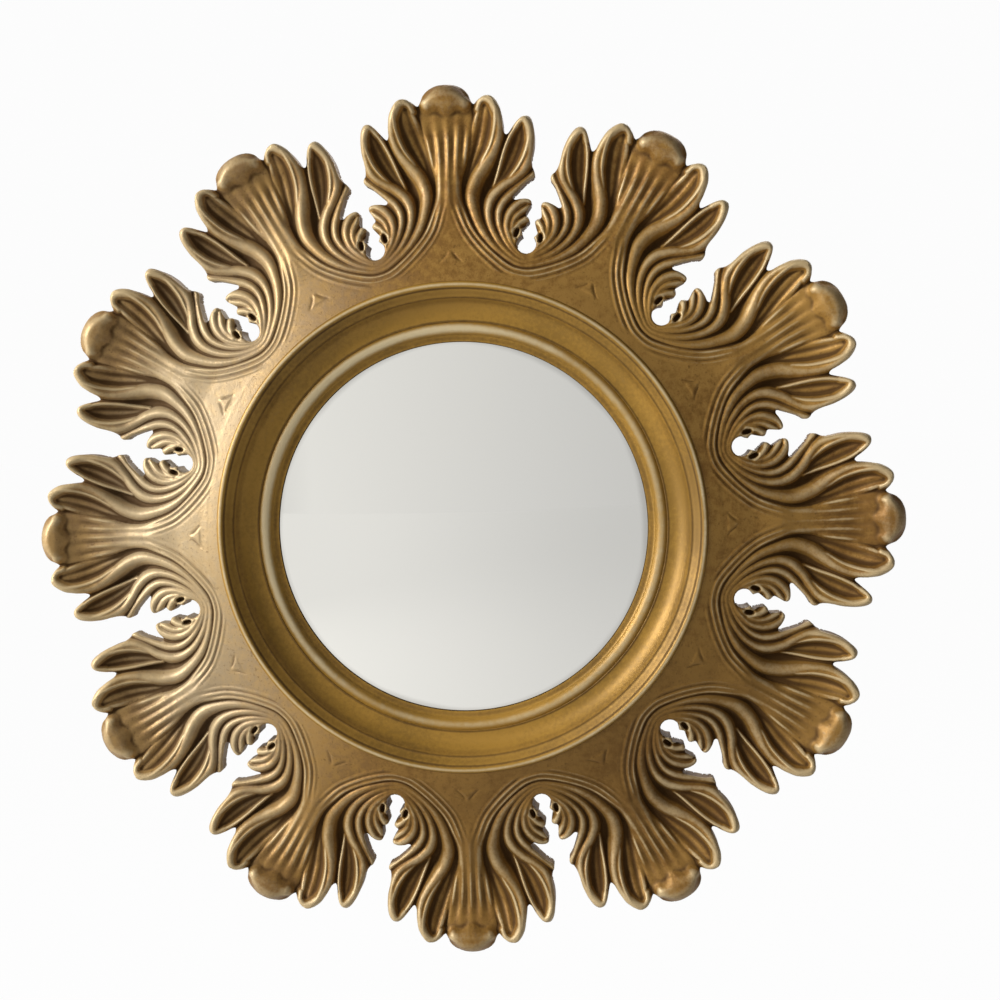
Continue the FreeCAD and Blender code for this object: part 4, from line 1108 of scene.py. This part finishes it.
@dataclass
class PlumeSet:
    """Twelve carved plumes butted round the ring, each a little different, as hand carving is."""

    carver: PlumeCarver = field(default_factory=PlumeCarver)
    count: int = 12
    loose_from: float = 236.0
    loose_length: float = 50.0
    sway: float = 0.9
    swell: float = 0.45
    wall_depths: tuple = (0.12, 0.55, 1.0)
    wall_dirt_and_shade: float = 0.30
    crease: float = 62.0
    seed: int = 41

    def wander(self, rng: np.random.Generator, place: np.ndarray, wave: float) -> np.ndarray:
        """A slow smooth noise over the plume, from -1 to 1."""
        total = np.zeros(len(place))
        for _ in range(4):
            way = rng.uniform(0, 2 * math.pi)
            pace = 2 * math.pi / wave * rng.uniform(0.7, 1.4)
            along = place[:, 0] * math.cos(way) + place[:, 1] * math.sin(way)
            total += np.sin(pace * along + rng.uniform(0, 2 * math.pi))
        return total / 4

    def swayed(self, seed: int) -> np.ndarray:
        """The plume's nodes, moved a little as another hand would have carved them."""
        rng = np.random.default_rng(seed)
        nodes = self.carver.nodes.copy()
        place = nodes[:, :2].copy()
        loose = rise(np.hypot(place[:, 0], place[:, 1]), self.loose_from, self.loose_length)
        nodes[:, 0] += loose * self.sway * 1.4 * self.wander(rng, place, 130)
        nodes[:, 1] += loose * self.sway * (self.wander(rng, place, 90) + rng.uniform(-0.8, 0.8))
        nodes[:, 2] += loose * self.swell * (self.wander(rng, place, 55) + self.wander(rng, place, 18) * 0.5)
        return nodes

    def walls(self, edge: np.ndarray, free: np.ndarray) -> list[np.ndarray]:
        """Rings of points from the front's edge to the back, drawn in where the edge is carved.

        Args:
            edge: the front's edge.
            free: whether each of its points is carved, not jointed.

        Returns:
            One ring for each depth.
        """
        carver = self.carver
        away = np.roll(edge, -1, 0)[:, :2] - np.roll(edge, 1, 0)[:, :2]
        inward = np.column_stack([-away[:, 1], away[:, 0]])
        inward /= np.maximum(np.hypot(inward[:, 0], inward[:, 1]), 1e-9)[:, None]
        for _ in range(6):
            inward = (np.roll(inward, 1, 0) + 2 * inward + np.roll(inward, -1, 0)) / 4
        inset = inward * carver.back_inset * free[:, None]
        share = np.clip((edge[:, 0] - 230) / (carver.length - 230), 0, 1)
        back = carver.back_height + (carver.tip_back_height - carver.back_height) * share
        rings = []
        for depth in self.wall_depths:
            ring = edge.copy()
            ring[:, :2] += inset * depth**2
            ring[:, 2] = edge[:, 2] + (back - edge[:, 2]) * depth
            rings.append(ring)
        return rings

    def build_one(self, name: str, angle: float, seed: int) -> bpy.types.Object:
        """Builds one plume.

        Args:
            name: the object's name.
            angle: its place round the ring, anticlockwise from the right.
            seed: what makes it differ from the others.

        Returns:
            The mesh object.
        """
        carver = self.carver
        nodes, loop = self.swayed(seed), carver.loop
        free = carver.free[loop]
        points = np.vstack([nodes, *self.walls(nodes[loop], free)])
        count, depths = len(loop), len(self.wall_depths)
        starts = [loop] + [len(nodes) + k * count + np.arange(count) for k in range(depths)]
        faces = carver.quads.tolist()
        for upper, lower in zip(starts[:-1], starts[1:]):
            following, below = np.roll(upper, -1), np.roll(lower, -1)
            faces += np.column_stack([following, upper, lower, below]).tolist()
        faces.append(starts[-1][::-1].tolist())
        u, v, h = points.T * MILLI
        across, up = u * math.cos(angle) - v * math.sin(angle), u * math.sin(angle) + v * math.cos(angle)
        piece = mesh_piece(name, np.column_stack([across, -h, up]), faces)
        carved = free & np.roll(free, -1)
        smooth = np.concatenate([np.ones(len(carver.quads), bool), np.tile(carved, depths), [False]])
        piece.data.polygons.foreach_set("use_smooth", smooth)
        wall = np.zeros(depths * count)
        # the side walls get dirt and painted shade
        store(piece, "recess", np.concatenate([carver.recess, wall + self.wall_dirt_and_shade]))
        store(piece, "ridge", np.concatenate([carver.ridge, wall]))
        return piece

    def build(self, gilt: bpy.types.Material, bare: bpy.types.Material) -> None:
        """Carves every plume where its solid stands.

        Args:
            gilt: finish of the front and edges.
            bare: finish of the back.
        """
        self.carver.carve()
        for number in range(1, self.count + 1):
            node = f"plume_{number:02d}"
            low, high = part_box(node)
            middle = (low + high) / 2
            angle = round(math.atan2(middle.z, middle.x) / self.carver.half_angle) * self.carver.half_angle
            piece = self.build_one(f"{node}_carving", angle, self.seed + number)
            piece.data.materials.append(gilt)
            piece.data.materials.append(bare)
            back = piece.data.polygons[len(piece.data.polygons) - 1]
            back.material_index = 1
            if back.normal.y < 0:
                piece.data.flip_normals()
            piece.data.set_sharp_from_angle(angle=math.radians(self.crease))
            seat(piece, node)


# --------------------------------------------------------------------------------------------------- moulding


class Way(Enum):
    """How a stretch of the turned section runs to its next corner."""

    LINE = 0
    HOLLOW = 1
    ROUND = -1


@dataclass
class Moulding:
    """The turned ring round the glass: bead, inner wall, cove, torus and sight edge.

    The section is drawn as radius and height, and Geometry Nodes sweep it round the ring.
    """

    sight: float = 156.0
    rebate: float = 163.0
    outer: float = 203.0
    lap: float = 189.9
    lip_back: float = 18.25
    recess: float = 5.0
    shoulder: float = 14.1
    turns: int = 360
    crease: float = 35.0
    front: tuple = (
        (203.0, 42.8, Way.LINE, 0.0), (203.0, 43.9, Way.ROUND, 3.0), (197.6, 44.0, Way.LINE, 0.0),
        (197.0, 42.9, Way.LINE, 0.0), (191.6, 38.4, Way.LINE, 0.0), (190.4, 38.1, Way.LINE, 0.0),
        (189.8, 36.9, Way.HOLLOW, 19.5), (172.8, 24.2, Way.LINE, 0.0), (171.8, 24.3, Way.LINE, 0.0),
        (171.2, 23.8, Way.ROUND, 6.6), (161.4, 20.5, Way.LINE, 0.0), (160.7, 19.8, Way.LINE, 0.0),
        (156.0, 18.5, Way.LINE, 0.0))
    # dirt and painted shade in the quirks, the cove, the inner wall and beside the sight edge
    dirty_and_shaded: tuple = (
        (197.2, 1.0, 0.8), (190.6, 1.2, 0.75), (188.0, 2.6, 0.42), (172.2, 1.2, 0.8), (158.6, 2.6, 0.50),
        (203.2, 0.5, 0.9), (194.0, 3.2, 0.42))
    # wear and painted highlight on the bead, the torus and a band across the cove
    wear_and_highlight: tuple = ((200.3, 1.6, 0.66), (166.6, 3.2, 0.52), (182.0, 5.0, 0.18))
    torus: tuple = (166.4, 3.8, 0.52, 0.55)

    def section(self) -> np.ndarray:
        """The closed section."""
        points: list[tuple[float, float]] = []
        for (r0, h0, way, radius), (r1, h1, _, _) in zip(self.front[:-1], self.front[1:]):
            points.append((r0, h0))
            if way is Way.LINE:
                steps = max(1, int(math.hypot(r1 - r0, h1 - h0) / 0.9))
                points += [(r0 + (r1 - r0) * k / steps, h0 + (h1 - h0) * k / steps) for k in range(1, steps)]
            else:
                points += self.arc(Vector((r0, h0)), Vector((r1, h1)), radius, -way.value)
        points.append(self.front[-1][:2])
        back = [(self.sight, self.lip_back), (self.rebate, self.lip_back), (self.rebate, self.recess),
                (self.lap, self.recess), (self.lap, self.shoulder), (self.outer, self.shoulder)]
        return np.array(points + back)

    @staticmethod
    def arc(first: Vector, last: Vector, radius: float, sign: int) -> list[tuple[float, float]]:
        """Points of an arc between two corners.

        Args:
            first: where it starts.
            last: where it ends.
            radius: its radius.
            sign: 1 for a round, -1 for a hollow.

        Returns:
            Its points, without the corners.
        """
        chord = last - first
        half = chord.length / 2
        radius = max(radius, half * 1.001)
        aside = Vector((chord.y, -chord.x)).normalized() * math.sqrt(radius**2 - half**2)
        centre = first + chord / 2 - sign * aside
        start, end = first - centre, last - centre
        sweep = math.atan2(start.x * end.y - start.y * end.x, start.dot(end))
        steps = max(4, int(abs(sweep) * radius / 0.6))
        points = []
        for k in range(1, steps):
            cos, sin = math.cos(sweep * k / steps), math.sin(sweep * k / steps)
            points.append((centre.x + start.x * cos - start.y * sin,
                           centre.y + start.x * sin + start.y * cos))
        return points

    @staticmethod
    def growth() -> Growth:
        """Geometry Nodes that turn a section about the ring's axis into a closed ring."""
        plan = Growth("turned_ring", {"Turns": "Int", "Path Radius": "Float"})
        around = {"Resolution": plan.given("Turns"), "Radius": plan.given("Path Radius")}
        path = plan.node("GeometryNodeCurvePrimitiveCircle", None, around)
        section = plan.node("GeometryNodeMeshToCurve", None, {"Mesh": plan.given("Start")})
        plan.close(plan.node("GeometryNodeCurveToMesh", None, {"Curve": path, "Profile Curve": section}))
        return plan

    def build(self, gilt: bpy.types.Material, bare: bpy.types.Material) -> None:
        """Sweeps the ring, marks its dirt and painted shade and its wear and painted highlight, and leaves
        its back as bare wood.

        Args:
            gilt: finish of the front.
            bare: finish of the back.
        """
        section = self.section()
        count = len(section)
        place = np.column_stack([section[:, 0] - self.outer, -section[:, 1], np.zeros(count)]) * MILLI
        start = mesh_piece("moulding_section", place, [])
        edges = np.column_stack([np.arange(count), (np.arange(count) + 1) % count])
        start.data.edges.add(count)
        start.data.edges.foreach_set("vertices", edges.ravel())
        start.data.update()
        values = {"Turns": self.turns, "Path Radius": self.outer * MILLI, "Finish": gilt}
        piece = self.growth().grow(start, values, "moulding_turned")
        stand(piece)
        turn_outwards(piece)
        self.mark(piece)
        piece.data.materials.append(bare)
        for face in piece.data.polygons:
            behind = face.center.y > -(self.lip_back + 0.02) * MILLI
            face.material_index = int(behind and face.normal.y > -0.2)
        smooth_by_angle(piece, self.crease)
        seat(piece, "moulding_ring")

    def mark(self, piece: bpy.types.Object) -> None:
        """Stores dirt and painted shade in the quirks and hollows, and wear and painted highlight on the
        crests, with more painted highlight on the upper-left side of the torus.
        """
        co = coordinates(piece)
        radius = np.hypot(co[:, 0], co[:, 2]) / MILLI
        for name, marks in (("recess", self.dirty_and_shaded), ("ridge", self.wear_and_highlight)):
            total = np.zeros(len(co))
            for place, width, amount in marks:
                total = np.maximum(total, amount * np.exp(-((radius - place) / width)**2))
            if name == "ridge":
                # painted highlight: the torus is painted paler towards its upper left, where the wall shades
                # it from the lamp
                place, width, least, more = self.torus
                side = np.clip((0.6 * co[:, 2] - 0.8 * co[:, 0]) / 0.16, 0, 1)
                total = np.maximum(total, (least + more * side) * np.exp(-((radius - place) / width)**2))
            store(piece, name, total)


# ------------------------------------------------------------------------------------------------------ glass


@dataclass
class ConvexPlate:
    """The domed mirror plate: silvered in front as seen, with dark backing paint behind."""

    radius: float = 162.0
    curve: float = 650.0
    thickness: float = 3.0
    top: float = 36.4
    turns: int = 180
    rings: int = 72
    crease: float = 35.0

    def build(self, silver: bpy.types.Material, paint: bpy.types.Material) -> None:
        """Turns the plate about its axis.

        Args:
            silver: finish of the front and edge.
            paint: finish of the back.
        """
        steps = self.radius * np.arange(1, self.rings + 1) / self.rings
        centre, inner = self.top - self.curve, self.curve - self.thickness
        front = [(r, centre + math.sqrt(self.curve**2 - r * r)) for r in steps]
        back = [(r, centre + math.sqrt(inner**2 - r * r)) for r in steps[::-1]]
        points, faces = turned_shell(front + back, self.turns)
        pole, last = len(points), len(points) - self.turns
        for here in range(self.turns):
            after = (here + 1) % self.turns
            faces += [(pole, after, here), (pole + 1, last + here, last + after)]
        points = np.vstack([points, (0, 0, self.top), (0, 0, self.top - self.thickness)])
        piece = mesh_piece("convex_plate", points * MILLI, faces)
        stand(piece)
        turn_outwards(piece)
        piece.data.materials.append(silver)
        piece.data.materials.append(paint)
        for face in piece.data.polygons:
            face.material_index = int(face.normal.y > 0.5)
        smooth_by_angle(piece, self.crease)
        seat(piece, "mirror_plate")


# ----------------------------------------------------------------------------------------------------- screws


@dataclass
class ScrewRow:
    """A ring of countersunk slotted screws, seen from behind."""

    name: str
    node: str
    place: float
    count: int
    first: float
    length: float
    height: float = 0.3
    head: float = 3.75
    head_rim: float = 0.18
    shank: float = 1.7
    slot_width: float = 0.9
    slot_depth: float = 0.6
    sides: int = 32
    crease: float = 30.0
    seed: int = 7

    def screw(self) -> bpy.types.Object:
        """One screw on the Z axis, its head at the height of the row and facing down."""
        rim = self.height + self.head_rim
        rings = [(self.head * 0.55, self.height), (self.head * 0.94, self.height), (self.head, rim),
                 (self.shank, rim + (self.head - self.shank)), (self.shank, self.height + self.length)]
        points, faces = turned_shell(rings, self.sides)
        tip = range(len(points) - self.sides, len(points))
        return mesh_piece(self.name, np.vstack([points, self._slot()]) * MILLI,
                          [*faces, tuple(tip), *self._head(len(points))])

    def _slot(self) -> np.ndarray:
        """Corners of the driver slot: four at the head's face and four at the slot's floor."""
        half, reach = self.slot_width / 2, self.head * 0.55 * 0.98
        corners = ((reach, half), (-reach, half), (-reach, -half), (reach, -half))
        levels = (self.height, self.height + self.slot_depth)
        return np.array([(x, y, level) for level in levels for x, y in corners])

    def _head(self, first: int) -> list[tuple[int, ...]]:
        """Faces that close the head round its driver slot.

        Args:
            first: number of the slot's first corner.

        Returns:
            The faces.
        """
        top, low = (tuple(range(first + k, first + k + 4)) for k in (0, 4))
        quarter, last = self.sides // 2, self.sides - 1
        faces = [(top[k], top[(k + 1) % 4], low[(k + 1) % 4], low[k]) for k in range(4)]
        faces += [low, (*range(1, quarter), top[1], top[0]), (*range(quarter + 1, last + 1), top[3], top[2]),
                  (0, 1, top[0], top[3], last), (quarter, quarter + 1, top[2], top[1], quarter - 1)]
        return faces

    def growth(self) -> Growth:
        """Geometry Nodes that set the screw out round a ring, each turned by a seeded angle."""
        sockets = {"Count": "Int", "Place": "Float", "First Angle": "Float", "Seed": "Int"}
        plan = Growth(f"{self.name}_row", sockets)
        around = {"Vertices": plan.given("Count"), "Radius": plan.given("Place")}
        ring = plan.node("GeometryNodeMeshCircle", None, around)
        angle = plan.node("ShaderNodeCombineXYZ", None, {"Z": plan.given("First Angle")})
        turned = plan.node("GeometryNodeTransform", None, {"Geometry": ring, "Rotation": angle})
        chance = {3: 2 * math.pi, "Seed": plan.given("Seed")}
        spin = plan.node("FunctionNodeRandomValue", {"data_type": "FLOAT"}, chance, 1)
        twist = plan.node("ShaderNodeCombineXYZ", None, {"Z": spin})
        rotation = plan.node("FunctionNodeEulerToRotation", None, {"Euler": twist})
        spread = {"Points": turned, "Instance": plan.given("Start"), "Rotation": rotation}
        plan.close(plan.node("GeometryNodeInstanceOnPoints", None, spread))
        return plan

    def build(self, steel: bpy.types.Material) -> None:
        """Sets the screws in their holes."""
        values = {"Count": self.count, "Place": self.place * MILLI, "First Angle": math.radians(self.first),
                  "Seed": self.seed, "Finish": steel}
        piece = self.growth().grow(self.screw(), values, f"{self.name}_slotted")
        stand(piece)
        turn_outwards(piece)
        smooth_by_angle(piece, self.crease)
        seat(piece, self.node)


# ----------------------------------------------------------------------------------------------------- studio


@dataclass
class Lamp:
    """A square lamp that looks at the middle of the mirror."""

    name: str
    place: tuple
    size: float
    power: float
    colour: tuple

    def build(self) -> None:
        """Sets the lamp up."""
        light = bpy.data.lights.new(self.name, "AREA")
        light.shape = "SQUARE"
        light.size = self.size
        light.energy = self.power
        light.color = self.colour
        holder = bpy.data.objects.new(self.name, light)
        holder.location = self.place
        holder.rotation_euler = (-Vector(self.place)).to_track_quat("-Z", "Y").to_euler()
        bpy.context.scene.collection.objects.link(holder)


@dataclass
class Studio:
    """Floor, lamps, background and camera."""

    floor_height: float = -0.78
    floor_size: float = 80.0
    floor_colour: tuple = (0.60, 0.60, 0.59)
    floor_roughness: float = 0.9
    floor_seen: float = 0.97
    floor_mirrored: tuple = (0.86, 0.63)
    white_level: float = 0.975
    soft_levels: tuple = (0.05, 0.23)
    soft_colour: tuple = (1.0, 0.99, 0.97, 1)
    fade_across: tuple = ((0.0, 0.55), (0.14, 0.75), (0.22, 0.88), (0.78, 0.68), (0.88, 0.20), (1.0, 0.03))
    fade_down: tuple = (
        (0.0, 0.03), (0.12, 0.20), (0.24, 0.96), (0.5, 1.0), (0.80, 0.98), (0.92, 0.45), (1.0, 0.3))
    lamps: tuple = (
        Lamp("key", (-1.68, -0.86, 0.60), 0.90, 53.0, (1.0, 0.985, 0.96)),
        Lamp("back", (0.6, 2.2, 1.6), 1.8, 22.0, (1.0, 1.0, 1.0)))
    aim: tuple = (0.0, -0.0462, 0.0)
    distance: float = 1.091
    direction: tuple = (0.099, -0.992, 0.0785)
    roll: float = -1.85
    lens: float = 47.9
    place_in_photo: tuple = (458.0, 531.0)

    @staticmethod
    def rays(plan: NodePlan) -> tuple[Wire, Wire]:
        """Rays of the camera or through glass, and rays of reflections."""
        kinds = [plan.node("ShaderNodeLightPath", out=f"Is {kind} Ray")
                 for kind in ("Camera", "Transmission", "Glossy")]
        return kinds[0].most(kinds[1]), kinds[2]

    def build_floor(self) -> None:
        """A plain pale floor, white where nothing shades it."""
        half, level = self.floor_size / 2, self.floor_height
        corners = [(-half, -half, level), (half, -half, level), (half, half, level), (-half, half, level)]
        floor = mesh_piece("floor", corners, [[0, 1, 2, 3]], smooth=False)
        sheet = Sheet("floor_paint")
        straight, mirrored = self.rays(sheet)
        incoming = sheet.node("ShaderNodeNewGeometry", out="Incoming")
        across = (0.5 - sheet.axis(incoming, "X") * 0.5).spread(0.22, 0.78, *self.floor_mirrored)
        share = (straight * self.floor_seen).most(mirrored * across)
        inputs = {"Base Color": (*self.floor_colour, 1), "Roughness": self.floor_roughness}
        paint = sheet.node("ShaderNodeBsdfPrincipled", None, inputs)
        glow = sheet.node("ShaderNodeEmission", None, {"Color": (1, 1, 1, 1), "Strength": 1.0})
        surface = sheet.node("ShaderNodeMixShader", None, {0: share, 1: paint, 2: glow})
        floor.data.materials.append(sheet.close(surface))

    def build_world(self) -> None:
        """Soft light, more of it from above; white to the camera; fading sideways in reflections."""
        world = bpy.data.worlds.new("studio")
        bpy.context.scene.world = world
        world.use_nodes = True
        plan = NodePlan(world.node_tree)
        straight, mirrored = self.rays(plan)
        way = plan.node("ShaderNodeTexCoord", out="Generated")
        levels = []
        for axis, stops in (("X", self.fade_across), ("Z", self.fade_down)):
            share = plan.node("ShaderNodeMapRange", None, {"Value": plan.axis(way, axis), "From Min": -1.0})
            levels.append(plan.node("ShaderNodeValToRGB", {"stops": stops}, {"Fac": share}))
        low, high = self.soft_levels
        rising = {"Value": plan.axis(way, "Z"), "From Min": -1.0, "To Min": low, "To Max": high}
        soft_level = plan.node("ShaderNodeMapRange", None, rising)
        white = (1, 1, 1, 1)
        soft, graded, plain = (
            plan.node("ShaderNodeBackground", None, {"Color": colour, "Strength": strength})
            for colour, strength in ((self.soft_colour, soft_level), (white, levels[0] * levels[1]),
                                     (white, self.white_level)))
        lit = plan.node("ShaderNodeMixShader", None, {0: mirrored, 1: soft, 2: graded})
        seen = plan.node("ShaderNodeMixShader", None, {0: straight, 1: lit, 2: plain})
        plan.add("ShaderNodeOutputWorld", None, {"Surface": seen})

    def build_camera(self) -> None:
        """A camera at the photograph's angle."""
        data = bpy.data.cameras.new("camera")
        data.lens = self.lens
        camera = bpy.data.objects.new("camera", data)
        away = Vector(self.direction).normalized()
        camera.location = Vector(self.aim) + away * self.distance
        turn = (-away).to_track_quat("-Z", "Y").to_matrix() @ Matrix.Rotation(math.radians(self.roll), 3, "Z")
        camera.rotation_euler = turn.to_euler()
        data.shift_x = 0.5 - self.place_in_photo[0] / PHOTO_SIDE
        data.shift_y = self.place_in_photo[1] / PHOTO_SIDE - 0.5
        data.dof.use_dof = False
        bpy.context.scene.collection.objects.link(camera)
        bpy.context.scene.camera = camera

    def build(self) -> None:
        """Sets the studio up."""
        self.build_floor()
        self.build_world()
        for lamp in self.lamps:
            lamp.build()
        self.build_camera()
        bpy.context.scene.view_settings.view_transform = "Standard"


def main() -> None:
    """Dresses the frame and sets the studio up."""
    logging.basicConfig(level=logging.INFO, format="%(name)s %(message)s")
    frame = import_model()
    bare = BareWood().make()
    steel = Metal("plated_steel", (0.60, 0.60, 0.58), (0.32, 0.31, 0.29), 0.34).make()
    brass = Metal("old_brass", (0.72, 0.53, 0.22), (0.36, 0.23, 0.09), 0.30).make()
    backing = PressedSheet("backing_paint", (0.20, 0.17, 0.15), (0.12, 0.10, 0.09), 500.0, 0.0001).make()
    felt = PressedSheet("black_felt", (0.06, 0.06, 0.06), (0.02, 0.02, 0.02), 1400.0, 0.0003).make()
    cork = PressedSheet("cork_sheet", (0.48, 0.30, 0.16), (0.20, 0.11, 0.05), 600.0, 0.0004).make()
    board = PressedSheet("hardboard", (0.30, 0.19, 0.105), (0.17, 0.10, 0.05), 900.0, 0.0002).make()
    PlumeSet().build(Gilding().make(), bare)
    Moulding().build(TurnedGilding().make(), bare)
    ConvexPlate().build(SilveredGlass().make(), backing)
    ScrewRow("plume_screw", "plume_screws", 216.0, 24, 7.5, 27.9).build(steel)
    ScrewRow("moulding_screw", "moulding_screws", 196.5, 6, 15.0, 23.9).build(steel)
    dress(frame, ["base_ring", "joint_dowels"], bare)
    dress(frame, ["seat_felt"], felt)
    dress(frame, ["spacer_ring"], cork)
    dress(frame, ["back_board"], board)
    dress(frame, ["hanger_plate_left", "hanger_plate_right", "hanger_screws", "turn_button_screws"], steel)
    dress(frame, [f"turn_button_{number}" for number in range(1, 7)], brass)
    Studio().build()


if __name__ == "__main__":
    main()
